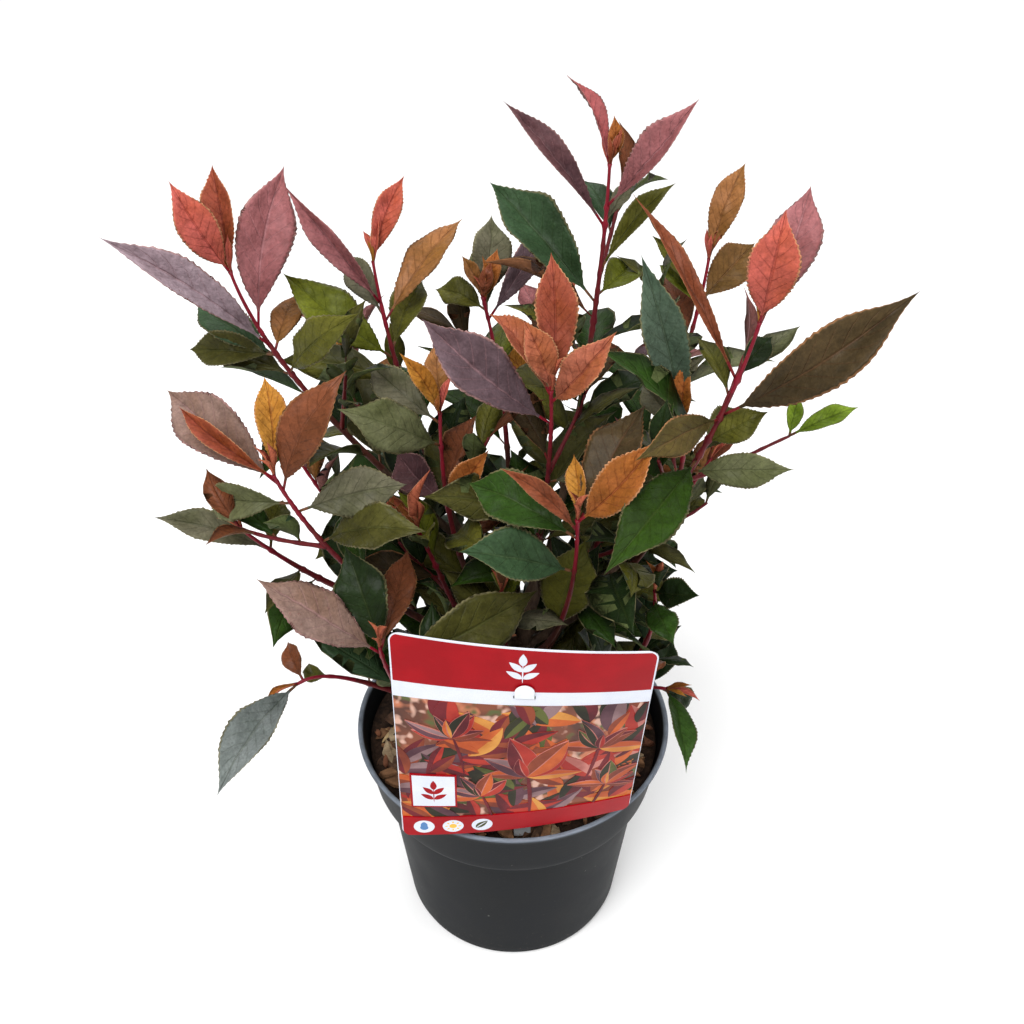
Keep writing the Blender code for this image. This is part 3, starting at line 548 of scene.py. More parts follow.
# a bough from the leader at a height: out along the way to its tip, turned, then up into the shoot
def sideLimb(shoot, leader, forkZ, turn):
    tip, second = shootTip(shoot)
    k = int(np.argmax(leader["points"][:, 2] >= forkZ))
    fork, _ = placeOn(leader, leader["reach"][k])
    out = np.array((tip[0] - fork[0], tip[1] - fork[1], 0))
    run = max(limbSizes["run"] * np.linalg.norm(out), limbSizes["elbow"])
    climb = max(limbSizes["climb"] * (tip[2] - fork[2]), limbSizes["leastRise"])
    rise = min(climb, limbSizes["elbow"])
    away = np.array(Matrix.Rotation(math.radians(turn), 3, "Z")) @ unit(out)
    return makeLimb(fork, fork + away * run + up * rise, second, tip)


def shootTip(shoot):
    tip = np.array(shoot["tip"]) / 1000
    return tip, tip - aim(*shoot["lean"]) * shoot.get("straight", limbSizes["straight"]) / 1000


# every bough's way from the trunk, the lowest tips from the lowest forks, turned or shifted
# until it is clear of those before it
def growLimbs():
    name = limbSizes["leader"]
    ground = np.array(limbSizes["ground"])
    tip, second = shootTip(shoots[name])
    limbs = {name: makeLimb(ground, ground + up * limbSizes["firstRise"], second, tip)}
    leader = limbs[name]
    ways = list(space)
    begin = leader["length"] - shoots[name]["leafy"] / 1000
    takeRoom(ways, name, *roomTube(leader, begin, leader["length"], limbSizes["room"], 4, 7))
    ranked = sorted((n for n in shoots if n != name), key=lambda n: shoots[n]["tip"][2])
    for rank, name in enumerate(ranked):
        forkZ = between(*limbSizes["forks"], rank / (len(ranked) - 1))
        limbs[name] = clearWay(name, leader, forkZ, ways)
    return limbs


def clearWay(name, leader, forkZ, ways):
    for shift in limbSizes["shifts"]:
        for turn in limbSizes["turns"]:
            limb = sideLimb(shoots[name], leader, forkZ + shift, turn)
            shape = roomTube(limb, limbSizes["trunk"][1], limb["length"], limbSizes["room"], 5, 16)
            if not meets(ways, *shape, name, own=False):
                takeRoom(ways, name, *shape)
                return limb
    raise ValueError("no clear way for " + name)


# the direction that leaves a stem at that angle, turned that far round it
def spreadFrom(stem, turn, spread):
    a, b = squareTo(stem)
    out = a * math.cos(turn) + b * math.sin(turn)
    return unit(stem * math.cos(spread) + out * math.sin(spread))


# keeps a leaf only where it is clear of the limbs, the other shoots and its own neighbours; down is
# how far below the shoot's tip it grows, and a leaf with a tint of its own is a leading one
def addLeaf(shoot, root, along, face, length, width, tint, down, spare=()):
    grow = rule["clearance"]
    whole = roomLeaf(root, along, face, length, width, grow, 0)
    if whole[0][:, 2].min() < rule["lowest"]:
        return False
    end = root + along * length
    if not tint and any(end[0] * way > x * way and end[2] < top and end[1] < rule["openTo"]
                        for x, way, top in rule["open"]):
        return False
    if meets(space, *whole, shoot["name"], own=False, spare=spare):
        return False
    blade = roomLeaf(root, along, face, length, width, grow, 1)
    if meets(space, *blade, shoot["name"], own=True):
        return False
    takeRoom(space, shoot["name"], *roomLeaf(root, along, face, length, width, 0.0, 0))
    shoot["grown"].append((root, along, face, length, width, tint, down))
    return True


# every leading leaf, turned or shortened a little until it finds room
def addLeadingLeaves(shoot):
    light = np.array(leafSizes["light"])
    for down, heading, rise, length, width, tint in shoots[shoot["name"]].get("leaves", ()):
        at = shoot["limb"]["length"] - down / 1000 - rule["rootDepth"]
        root, _ = placeOn(shoot["limb"], at)
        for turn, lift, shrink in rule["leadTries"]:
            size = length / 1000 * shrink, width / 1000 * shrink
            if addLeaf(shoot, root, aim(heading + turn, rise + lift), light, *size, tint, None):
                break
        else:
            print("no room for a", tint, "leaf on", shoot["name"])


# thin side twigs that sag a little, with leaves at their end
def addSprays(shoot):
    for down, heading, rise, length, leaves in shoots[shoot["name"]].get("sprays", ()):
        root, _ = placeOn(shoot["limb"], shoot["limb"]["length"] - down / 1000)
        out = aim(heading, rise) * length / 1000
        first, second = twigSizes["bends"]
        low = root + out * first - up * twigSizes["sag"]
        shoot["twigs"].append(makeLimb(root, low, root + out * second, root + out))
        for turn, lift, size, width, tint in leaves:
            addLeaf(shoot, root + out, aim(turn, lift), np.array(leafSizes["light"]), size / 1000,
                    width / 1000, tint, None)


# leaves in a golden spiral: older ones further from the tip are longer and spread wider
def addRuleLeaves(shoot, limb, rng, first, last, lengths, deeper=0.0):
    down, turn = first, rng.uniform(0, math.tau)
    while down < last:
        age = min(down / rule["old"], 1)
        root, stem = placeOn(limb, limb["length"] - down)
        spread = between(*rule["spreads"], age) + rng.uniform(-1, 1) * rule["jitter"]
        length = between(*lengths, age) * rng.uniform(*rule["sizes"]) * shoot["size"]
        for extra, opening, shrink in rule["ruleTries"]:
            along = spreadFrom(stem, turn + extra, spread + opening)
            size = length * shrink
            if addLeaf(shoot, root, along, up + stem * rule["faceLean"], size,
                       size * rule["widthShare"], None, down + deeper):
                break
        down += between(*rule["internodes"], age)
        turn += rule["goldenTurn"]


# side twigs with the rule's leaves; one on which no leaf finds room isn't drawn
def addTwigs(shoot, rng):
    limb, name = shoot["limb"], shoot["name"]
    first, second = twigSizes["bends"]
    down = shoots[name].get("twigFrom", twigSizes["from"]) / 1000
    turn = rng.uniform(0, math.tau)
    while down < shoot["leafy"] - twigSizes["stop"]:
        root, along = placeOn(limb, limb["length"] - down)
        for extra in twigSizes["turns"]:
            out = spreadFrom(along, turn + extra, twigSizes["spread"])
            length = twigSizes["length"] * rng.uniform(*twigSizes["lengths"])
            tip = root + out * length + up * length * twigSizes["lift"]
            twig = makeLimb(root, root + out * length * first, root + out * length * second, tip)
            outer = roomTube(twig, length * twigSizes["roomFrom"], twig["length"],
                             (twigSizes["room"],) * 2, 4, 2)
            if meets(space, *outer, name, own=False) or meets(space, *outer, name, own=True):
                continue
            takeRoom(space, name, *roomTube(twig, 0, twig["length"], limbSizes["twig"], 3, 2))
            before = len(shoot["grown"])
            addRuleLeaves(shoot, twig, rng, twigSizes["firstLeaf"], length * twigSizes["leafyShare"],
                          rule["twigLeaves"], down)
            if len(shoot["grown"]) > before:
                shoot["twigs"].append(twig)
            break
        down += twigSizes["every"]
        turn += rule["goldenTurn"]


# what grows on beyond the source's rule: old leaves along the bare boughs, which the source
# leaves out, and the young ones that stand folded round each tip, as (turn, rise, length)
beyond = {
    "every": (0.007, 0.011), "from": 0.018, "lengths": (0.046, 0.070), "spread": 56,
    "widthShare": 0.44, "faceLean": 0.3,
    "reach": (0.092, 0.2, 0.200),  # how far out a leaf may end, and its growth above a height
    "tipLeaves": ((0.0, 74, 0.021), (2.2, 68, 0.017), (4.3, 78, 0.013)), "tipWidth": 0.21,
    "tipTurn": 0.3, "tipLengths": (0.85, 1.15), "tipTints": ("coral", "orange", "ember", "gold"),
}


# old leaves in the same spiral from the trunk outwards, kept within the crown
def addOldLeaves(shoot, rng):
    widest, growth, above = beyond["reach"]
    distance, turn = beyond["from"], rng.uniform(0, math.tau)
    while distance < shoot["end"]:
        root, stem = placeOn(shoot["limb"], distance)
        length = rng.uniform(*beyond["lengths"])
        for extra, opening, shrink in rule["ruleTries"]:
            along = spreadFrom(stem, turn + extra, math.radians(beyond["spread"]) + opening)
            size = length * shrink
            end = root + along * size
            if math.hypot(end[0], end[1]) > widest + growth * max(end[2] - above, 0):
                continue
            if addLeaf(shoot, root, along, up + stem * beyond["faceLean"], size,
                       size * beyond["widthShare"], None, shoot["limb"]["length"] - distance,
                       spare=("bough_" + shoot["name"],)):
                break
        distance += rng.uniform(*beyond["every"])
        turn += rule["goldenTurn"]


def startShoot(name, limb):
    sizes = shoots[name]
    leafy = sizes["leafy"] / 1000
    bare = sizes.get("bare", rule["bare"]) / 1000 if "leaves" in sizes else rule["rootDepth"]
    return {
        "name": name, "limb": limb, "leafy": leafy, "size": sizes.get("size", 1.0), "bare": bare,
        "grown": [], "twigs": [], "end": limb["length"] - leafy - limbSizes["gap"],
    }


# the solids, the trunk, the boughs and the stems take their room, then every shoot gets its
# leading leaves, the rule's leaves and twigs, and the old leaves
def growShoots():
    for node in ("pot", "soil", "label_card", "label_strip"):
        solid = bpy.data.objects[node].data
        places = np.empty(len(solid.vertices) * 3, np.float32)
        solid.vertices.foreach_get("co", places)
        faces = [tuple(p.vertices) for p in solid.polygons]
        takeRoom(space, "limbs", places.reshape(-1, 3).astype(float), faces)
    grown = [startShoot(name, limb) for name, limb in growLimbs().items()]
    leader, boughs = grown[0], grown[1:]
    takeRoom(space, "limbs", *roomTube(leader["limb"], 0, leader["end"], limbSizes["trunk"], 8, 12))
    for shoot in boughs:
        room = roomTube(shoot["limb"], 0, shoot["end"], limbSizes["room"], 5, 8)
        takeRoom(space, "bough_" + shoot["name"], *room)
    for shoot in grown:
        length = shoot["limb"]["length"]
        stem = roomTube(shoot["limb"], length - shoot["leafy"], length, limbSizes["stem"], 4, 7)
        takeRoom(space, shoot["name"], *stem)
    for shoot in grown:
        addLeadingLeaves(shoot)
        addSprays(shoot)
    for index, shoot in enumerate(grown):
        rng = random.Random(rule["seed"] + index)
        addRuleLeaves(shoot, shoot["limb"], rng, shoot["bare"], shoot["leafy"] - rule["stop"],
                      rule["shootLeaves"])
        addTwigs(shoot, rng)
    for index, shoot in enumerate(boughs):
        addOldLeaves(shoot, random.Random(rule["seed"] + 101 + index))
    return grown


plant = growShoots()
print("shoots grown,", sum(len(s["grown"]) for s in plant), "leaves")

# Leaves

# Each tint as (top, clouded with, family), and each family's rib, underside, stalk and rim, how
# strongly its veins show, its roughness and its coat. Colours are screen colours of 0-255.
tints = {
    "coral": ((192, 96, 86), (176, 84, 62), "young"), "ember": ((154, 78, 62), (136, 68, 36), "young"),
    "orange": ((166, 98, 50), (138, 82, 30), "young"), "gold": ((188, 132, 56), (160, 102, 34), "young"),
    "peach": ((172, 100, 78), (154, 86, 52), "young"),
    "pink": ((182, 98, 98), (150, 74, 74), "plum"), "rose": ((166, 106, 108), (136, 80, 80), "plum"),
    # mauve: the leaf's own grey-purple made paler and greyer with painted sheen
    "mauve": ((170, 150, 158), (142, 122, 128), "plum"), "plum": ((104, 70, 72), (76, 50, 54), "plum"),
    "dusk": ((106, 86, 92), (78, 60, 64), "plum"), "taupe": ((144, 118, 108), (122, 94, 80), "plum"),
    "copper": ((148, 82, 56), (118, 62, 38), "brown"), "bronze": ((124, 70, 44), (100, 56, 32), "brown"),
    "umber": ((78, 62, 38), (56, 46, 28), "brown"), "tan": ((160, 108, 66), (134, 90, 42), "brown"),
    "olive": ((96, 94, 34), (72, 72, 24), "green"), "fresh": ((104, 110, 28), (84, 90, 22), "green"),
    "moss": ((78, 76, 32), (58, 56, 22), "green"), "sage": ((106, 108, 76), (82, 86, 52), "green"),
    "leaf": ((50, 78, 26), (38, 60, 18), "green"), "bright": ((44, 70, 12), (34, 54, 8), "green"),
    "lime": ((132, 158, 48), (102, 126, 34), "green"), "dark": ((32, 48, 20), (24, 36, 14), "green"),
    # grey: a grey-green leaf colour with painted sheen in it
    "teal": ((60, 84, 56), (44, 64, 38), "green"), "grey": ((110, 106, 86), (84, 84, 60), "green"),
    "slate": ((88, 104, 88), (68, 86, 68), "green"), "silver": ((124, 130, 128), (98, 106, 102), "green"),
    "khaki": ((88, 74, 38), (66, 58, 28), "brown"), "hazel": ((126, 90, 50), (100, 74, 36), "brown"),
}
families = {
    "young": {"rib": (134, 52, 44), "under": (190, 104, 76), "stalk": (138, 22, 36), "vein": 0.32,
              "rough": 0.5, "coat": 0.03, "rim": (230, 168, 122)},
    "plum": {"rib": (178, 134, 138), "under": (138, 90, 84), "stalk": (128, 20, 38), "vein": 0.30,
             "rough": 0.5, "coat": 0.05, "rim": (192, 146, 140)},
    "brown": {"rib": (104, 66, 46), "under": (118, 78, 52), "stalk": (118, 30, 32), "vein": 0.26,
              "rough": 0.5, "coat": 0.08, "rim": (182, 130, 88)},
    "green": {"rib": (72, 82, 42), "under": (88, 98, 58), "stalk": (104, 66, 40), "vein": 0.20,
              "rough": 0.44, "coat": 0.07, "rim": (142, 134, 96)},
}
# for leaves with no tint of their own: how far below the tip, in mm, and what they may be
ages = (
    (22, ("coral", "orange", "ember", "rose", "gold", "peach")),
    (42, ("gold", "orange", "copper", "tan", "bronze", "olive", "rose", "fresh")),
    (64, ("bronze", "olive", "dusk", "tan", "moss", "fresh", "grey", "umber")),
    (90, ("olive", "moss", "leaf", "sage", "bronze", "teal", "leaf", "dark")),
    (999, ("dark", "leaf", "moss", "dark", "olive", "dark", "bright")),
)
ageing = {"height": 0.345, "growth": 600, "spread": 8}


# one finish for each tint, and three for each family: its underside, the rib below and the stalk
def leafFinishes():
    mats, places = [], {}
    for name, (top, other, family) in tints.items():
        look = families[family]
        places[name] = {"top": len(mats)}
        mats.append(leafFinish("leaf_" + name, paint(*top), paint(*other), paint(*look["rib"]),
                               paint(*look["rim"]), look["rough"], look["vein"], look["coat"]))
    for family, look in families.items():
        first = len(mats)
        rib, under, stalk, rim = (paint(*look[part]) for part in ("rib", "under", "stalk", "rim"))
        mats += [
            leafFinish("under_" + family, under, shade(under, 0.8), rib, rim, 0.62, 0.5, 0.0),
            barkFinish("rib_" + family, rib, shade(rib, 0.75), 0.45, 0.3, 0.0001),
            barkFinish("stalk_" + family, stalk, shade(stalk, 0.6), 0.4, 0.3, 0.0001),
        ]
        for name, place in places.items():
            if tints[name][2] == family:
                place.update(under=first, rib=first + 1, stalk=first + 2)
    return mats, places


leafMats, leafPlaces = leafFinishes()

# the two meshes that a leaf may have, as rows along it (stalk first) and places across it
leafMeshes = {
    "leading": {"rows": np.concatenate([[0, 0.05, 0.1], np.linspace(0.13, 1, 72)]), "stalkRows": 2,
                "across": np.array((-1, -0.8, -0.54, -0.28, -0.03, 0.03, 0.28, 0.54, 0.8, 1.0))},
    "plain": {"rows": np.array((0, 0.11, 0.17, 0.25, 0.34, 0.44, 0.54, 0.64, 0.74, 0.84, 0.93, 1.0)),
              "stalkRows": 1, "across": np.array((-1, -0.04, 0.04, 1.0))},
}
# a blade's sizes in metres, its shape's powers, and how far one leaf may be from another in each
blade = {
    "stalkHalf": 0.0007, "stalkShare": 0.11, "thick": 0.00014, "keel": 0.00045, "tipHalf": 0.00004,
    "tooth": 0.00062, "toothSteps": (0.0, 0.45, 1.0), "toothSizes": (0.3, 1.25), "toothWidth": 0.02,
    "quilt": 0.0005, "veins": 9, "slant": 0.22, "crumple": 0.0007,
    "along": (12, 20), "across": (2, 4),  # how fast the crumple goes up and down
    "low": 1.04, "lows": (-0.1, 0.12), "high": 0.84, "highs": (-0.08, 0.10), "point": 0.5,
    "bows": (-0.03, 0.03), "curls": (-0.01, 0.09), "sickles": (-0.055, 0.055),
    "twists": (-0.75, 0.75), "rolls": (-0.35, 0.35), "folds": (0.18, 0.55),
    "youngFolds": (0.15, 0.45), "cups": (-0.3, 0.12), "ripples": (0.03, 0.16), "beats": (1.6, 3.4),
    "lags": (0, 1), "sideLags": (0.1, 0.3), "starts": (0, 6),
    "slim": 0.36,  # one that looks slimmer than this share of its length is a folded one
}


# Leaves as closed pillows, all at once. The rib leaves the root straight and bows up as
# 4 bow s (1 - s), curling down at the tip as curl s^3 and aside as sin(pi s). Half the width is
# x^low (1 - x)^high, whose last power grows towards the drawn-out point, and each three rows step
# out to a tooth that leans forward. Across, the blade folds up as |w|, cups as w^2, waves along
# its edge, swells between side veins as cos(veins x - slant |w|) and crumples as a product of sines.
def leafShapes(leaves, kind, seed):
    rows, across = leafMeshes[kind]["rows"], leafMeshes[kind]["across"]
    count, tall, wide = len(leaves), len(rows), len(across)
    rng = np.random.default_rng(seed)
    *places, length, width, named, _ = zip(*leaves)
    root, along, face = (np.array(place)[:, None] for place in places)
    length, width = (np.array(size)[:, None, None] for size in (length, width))
    young = np.array([float(tints[name][2] in ("young", "plum")) for name in named])[:, None, None]
    normal = unit(face - along * (face * along).sum(-1, keepdims=True))
    side = np.cross(normal, along)

    def vary(name):
        return rng.uniform(*blade[name], (count, 1, 1))

    s = rows[None, :, None]
    x = np.clip((s - blade["stalkShare"]) / (1 - blade["stalkShare"]), 0, 1)
    bow, curl = leafSizes["bow"] + vary("bows"), vary("curls") * (1 - young * 0.5)
    sickle, twist = vary("sickles"), vary("twists")
    middle = (root + along * length * s + normal * length * (bow * 4 * s * (1 - s) - curl * s**3)
              + side * length * sickle * np.sin(np.pi * s))
    ahead = unit(along + normal * (bow * 4 * (1 - 2 * s) - 3 * curl * s**2)
                 + side * sickle * np.pi * np.cos(np.pi * s))
    side = unit(side - ahead * (side * ahead).sum(-1, keepdims=True))
    normal = np.cross(ahead, side)
    turn = twist * (s - 0.15) + vary("rolls")
    side, normal = (side * np.cos(turn) + normal * np.sin(turn),
                    normal * np.cos(turn) - side * np.sin(turn))

    low, high = blade["low"] + vary("lows"), blade["high"] + vary("highs")
    shape = x**low * (1 - x)**(high + blade["point"] * ease((x - 0.55) / 0.45))
    shape = shape / shape.max(axis=1, keepdims=True)
    half = width / 2 * shape
    if kind == "leading":
        steps = len(blade["toothSteps"])
        size = rng.uniform(*blade["toothSizes"], (count, tall // steps + 1, 1))
        size = blade["tooth"] * size.repeat(steps, axis=1)[:, :tall]
        rise = np.array(blade["toothSteps"])[np.arange(tall) % steps][None, :, None]
        calm = np.minimum(shape * 3, 1) * np.minimum(width / blade["toothWidth"], 1)
        half = half + size * rise * calm
    half = np.maximum(half, blade["stalkHalf"] * (1 - x**2) * (0.8 + 0.2 * (s > 0)))
    half[:, -1] = blade["tipHalf"]
    w = across[None, None, :]
    slim = np.clip((blade["slim"] - width / length) * 3, 0, 0.7)
    fold, cup = vary("folds") + young * vary("youngFolds") + slim, vary("cups")
    ripple, beat = vary("ripples"), vary("beats")
    wave = ripple * np.sin(2 * np.pi * (beat * x + vary("lags") + np.sign(w) * vary("sideLags")))
    lift = half * (fold * np.abs(w) + cup * w**2 + wave * w**2)
    if kind == "leading":
        swell = 0.5 - 0.5 * np.cos(2 * np.pi * blade["veins"] * (x - blade["slant"] * np.abs(w)))
        calm = (1 - w**4) * np.minimum(shape * 2, 1)
        lift = lift + blade["quilt"] * (0.6 + young) * swell * calm
        lift = lift + blade["crumple"] * calm * (
            np.sin(vary("along") * x + vary("starts")) * np.sin(vary("across") * w + vary("starts")))
    thick = between(blade["stalkHalf"] * 0.8, blade["thick"], ease(x * 7)) * np.sqrt(1 - w**2)
    keel = blade["keel"] * np.exp(-(w / 0.12)**2) * (1 - x) * ease(x * 7)
    skin = middle[:, :, None] + side[:, :, None] * (half * w)[..., None]
    top = skin + normal[:, :, None] * (lift + thick)[..., None]
    bottom = skin + normal[:, :, None] * (lift - thick - keel)[..., None]
    top[:, [0, -1]] = skin[:, [0, -1]]
    top[:, :, [0, -1]] = (skin + normal[:, :, None] * lift[..., None])[:, :, [0, -1]]

    number = np.arange(tall * wide).reshape(tall, wide)
    below = number.copy()
    below[1:-1, 1:-1] = tall * wide + np.arange((tall - 2) * (wide - 2)).reshape(tall - 2, wide - 2)
    size = tall * wide + (tall - 2) * (wide - 2)
    quads = gridFaces(tall, wide)
    faces = np.concatenate([number.ravel()[quads[:, ::-1]], below.ravel()[quads]])
    faces = faces[None] + (np.arange(count) * size)[:, None, None]
    verts = np.concatenate([top.reshape(count, -1, 3), bottom[:, 1:-1, 1:-1].reshape(count, -1, 3)], 1)

    stalk = (np.arange(tall - 1) < leafMeshes[kind]["stalkRows"])[:, None]
    rib = (np.abs(across[1:] + across[:-1]) < 0.05)[None, :]
    topSlot, ribSlot, underSlot, stalkSlot = (
        np.array([leafPlaces[name][part] for name in named])[:, None, None]
        for part in ("top", "rib", "under", "stalk")
    )
    under = np.where(stalk, stalkSlot, np.where(rib, ribSlot, underSlot))
    above = np.broadcast_to(np.where(stalk, stalkSlot, topSlot), under.shape)
    slots = np.concatenate([above.reshape(count, -1), under.reshape(count, -1)], 1)
    uv = np.stack(np.broadcast_arrays((w + 1) / 2, x), -1)[0]
    uv = np.concatenate([uv.reshape(-1, 2), uv[1:-1, 1:-1].reshape(-1, 2)])
    return verts.reshape(-1, 3), [faces.reshape(-1, 4)], [slots.ravel()], np.tile(uv, (count, 1))


# gives every leaf its tint: its own, or one for its age, which grows on shoots lower than a height
def tintLeaves(shoot, rng):
    done = []
    low = max(0, ageing["height"] - shoots[shoot["name"]]["tip"][2] / 1000) * ageing["growth"]
    for root, along, face, length, width, tint, down in shoot["grown"]:
        kind = "leading" if tint else "plain"
        if not tint:
            age = down * 1000 + low + rng.uniform(-ageing["spread"], ageing["spread"])
            tint = rng.choice(next(names for limit, names in ages if age < limit))
        done.append((root, along, face, length, width, tint, kind))
    return done


# the young leaves round a tip; their faces look a little aside, so never straight along the leaf
def youngTip(shoot, rng):
    tip, stem = placeOn(shoot["limb"], shoot["limb"]["length"])
    wander, aside = beyond["tipTurn"], np.array((0.01, 0, 0))
    done = []
    for turn, rise, length in beyond["tipLeaves"]:
        along = spreadFrom(stem, turn + rng.uniform(-wander, wander), math.radians(90 - rise))
        length *= rng.uniform(*beyond["tipLengths"])
        tint = rng.choice(beyond["tipTints"])
        face = up - stem * 0.5 + along * 0.01 + aside
        done.append((tip - stem * rule["rootDepth"], along, face, length,
                     length * beyond["tipWidth"], tint, "plain"))
    return done


def makeLeaves(shoot, index):  # all leaves of a shoot as one piece
    rng = random.Random(500 + index)
    leaves = tintLeaves(shoot, rng) + youngTip(shoot, rng)
    kinds = {kind: [leaf for leaf in leaves if leaf[-1] == kind] for kind in leafMeshes}
    shapes = [leafShapes(some, kind, 900 + index) for kind, some in kinds.items() if some]
    verts, faces, slots, uv = joinShapes(shapes)
    makePiece("leaves_" + shoot["name"], verts, faces, leafMats, slots, uv,
              node="foliage_" + shoot["name"])


for index, shoot in enumerate(plant):
    makeLeaves(shoot, index)
print("leaves made")

# Trunk, boughs, shoots and twigs

bark = {
    "sides": 14, "ring": 0.002, "ridge": 0.10, "ridgeSize": 0.0032, "round": 0.006, "long": 0.22,
    "ageLength": 0.18, "node": 0.30, "nodeLength": 0.0013, "nodes": 14, "nodesFrom": 0.09,
    "collar": (0.0013, 0.005), "tip": 0.00075, "slim": 0.78, "roots": 5, "rootRise": 0.22,
    "leaderBends": (0.96, 0.01), "sunk": 0.0015,
    "steps": (0.034, 0.085, 0.130),  # below a shoot's tip: crimson, wine, maroon, then bark
}
barkMats = [
    barkFinish("stem_crimson", paint(112, 14, 34), paint(130, 26, 40), 0.38, 0.25, 0.0001),
    barkFinish("stem_wine", paint(90, 18, 30), paint(108, 34, 34), 0.45, 0.25, 0.0002),
    barkFinish("stem_maroon", paint(70, 30, 28), paint(90, 50, 38), 0.55, 0.25, 0.0004),
    barkFinish("bark_brown", paint(68, 50, 40), paint(98, 78, 62), 0.75, 0.3, 0.0008),
]


# a limb's radius along it: a collar that fades as exp(-distance / length) where it leaves the
# trunk, and a swelling of exp(-(distance / length)^2) at each leaf
def limbRings(limb, knots, radii, leaves, collar):
    count = max(int(limb["length"] / bark["ring"]), 8)
    distance = np.linspace(0, limb["length"], count + 1)
    points, _ = placeOn(limb, distance)
    radius = np.interp(distance, knots, radii)
    radius = radius + collar * np.exp(-distance / bark["collar"][1])
    for leaf in leaves:
        radius = radius * (1 + bark["node"] * np.exp(-((distance - leaf) / bark["nodeLength"])**2))
    return distance, points, radius


# long ridges and lumps that fade towards the young end
def barkRelief(points, distance, length, sides):
    turn = turns(sides)
    x = np.cos(turn)[None, :] * bark["round"] + points[:, :1]
    y = np.sin(turn)[None, :] * bark["round"] + points[:, 1:2]
    z = points[:, 2:] * bark["long"] + np.zeros(sides)[None, :]
    age = ease((length - distance) / bark["ageLength"])[:, None]
    return bark["ridge"] * (0.25 + 0.75 * age) * lumps(x, y, z, bark["ridgeSize"], 17)


def twigShape(twig):
    along = np.linspace(0, twig["length"], twigSizes["stations"])
    path, _ = placeOn(twig, along)
    rise, wave = twigSizes["ripple"]
    size = np.linspace(*twigSizes["radii"], twigSizes["stations"]) * (1 + rise * np.sin(along / wave))
    return tubeAlong(path, size, twigSizes["sides"], 0.0, twigSizes["slot"])


# a bough with its twigs; the leader's is the trunk too, thicker, with roots that flare at its foot
# as (1 - distance / height)^1.6 and rise and fall as cos(roots turn)
def makeStem(shoot):
    limb, name = shoot["limb"], shoot["name"]
    leader = name == limbSizes["leader"]
    roots = [np.linalg.norm(limb["points"] - leaf[0], axis=1).argmin() for leaf in shoot["grown"]]
    high = limb["length"] - bark["nodesFrom"]
    leafAt = [limb["reach"][k] for k in roots if limb["reach"][k] > high][:bark["nodes"]]
    if leader:
        wide, (before, after) = limbSizes["trunk"], bark["leaderBends"]
        knots = (0, shoot["end"] * before, shoot["end"] + after, limb["length"])
        radii = (*wide, limbSizes["stem"][0] * bark["slim"], bark["tip"])
        sides, collar = bark["sides"] * 2, 0
    else:
        wide = limbSizes["bough"]
        knots = (0, shoot["end"], limb["length"])
        radii = (wide[0], wide[1] * bark["slim"], bark["tip"])
        sides, collar = bark["sides"], bark["collar"][0]
    distance, points, radius = limbRings(limb, knots, radii, leafAt, collar)
    relief = barkRelief(points, distance, limb["length"], sides)
    if leader:
        foot = np.clip(1 - distance / limbSizes["flareHeight"], 0, 1)**1.6
        radius = radius + limbSizes["flare"] * foot
        wave = np.cos(turns(sides) * bark["roots"] + 1)
        relief = relief + bark["rootRise"] * foot[:, None] * wave[None, :]
        points[0, 2] -= bark["sunk"]  # into the mulch
    down = limb["length"] - (distance[1:] + distance[:-1]) / 2
    shapes = [tubeAlong(points, radius, sides, relief, np.searchsorted(bark["steps"], down))]
    shapes += [twigShape(twig) for twig in shoot["twigs"]]
    verts, faces, slots, uv = joinShapes(shapes)
    made = ("trunk_and_leader", "trunk") if leader else ("shoot_" + name, "bough_" + name)
    makePiece(made[0], verts, faces, barkMats, slots, uv, node=made[1])


for shoot in plant:
    makeStem(shoot)
print("stems made")

# The pot

pot = {
    "height": 0.147, "rim": 0.095, "collar": 0.0867, "collarZ": 0.107, "wallTop": 0.080,
    "base": 0.0683, "wall": 0.0018, "floor": 0.003, "lip": 0.0026, "edge": 0.0012,
    "slope": 0.002, "foot": 0.0045, "fillet": 0.002, "underLip": (0.0030, 0.0035),
    "standing": 0.006, "hollow": (0.008, 0.0008),  # the ring it stands on, and the rest of its floor
    "steps": 192, "round": 0.48, "longest": 0.004,
    "holes": 8, "holeRadius": 0.005, "holeRing": 0.052, "holeSides": 28,
}


def potInside(z):  # the inner wall's radius at a height
    if z < pot["collarZ"]:
        outside = between(pot["base"], pot["wallTop"], z / pot["collarZ"])
    else:
        share = (z - pot["collarZ"]) / (pot["height"] - pot["collarZ"])
        outside = between(pot["collar"], pot["rim"] - pot["edge"], share)
    return outside - pot["wall"]


# the pot's section from the middle of its floor up inside, over the lip and down outside
def potSection():
    half, under = pot["edge"] / 2, pot["height"] - pot["lip"]
    below, above = pot["collarZ"] - pot["slope"], pot["collarZ"] + pot["slope"]
    rim, base, edge, lip, height = (pot[k] for k in ("rim", "base", "edge", "lip", "height"))
    foot, floor, fillet = pot["foot"], pot["floor"], pot["fillet"]
    (slip, drop), (ring, hollow) = pot["underLip"], pot["hollow"]
    return np.array([
        (0, floor), (potInside(floor) - fillet, floor), (potInside(floor + fillet), floor + fillet),
        (potInside(below), below), (potInside(above), above), (potInside(under), under),
        (rim - lip, height - half), (rim - lip / 2, height), (rim, height - half), (rim, under),
        (rim - edge, under - half), (rim - slip, under - drop), (pot["collar"], above),
        (pot["wallTop"], below), (base + edge, foot), (base, foot - edge), (base, edge),
        (base - edge, 0), (base - pot["standing"], 0), (base - ring, hollow), (0, hollow),
    ])


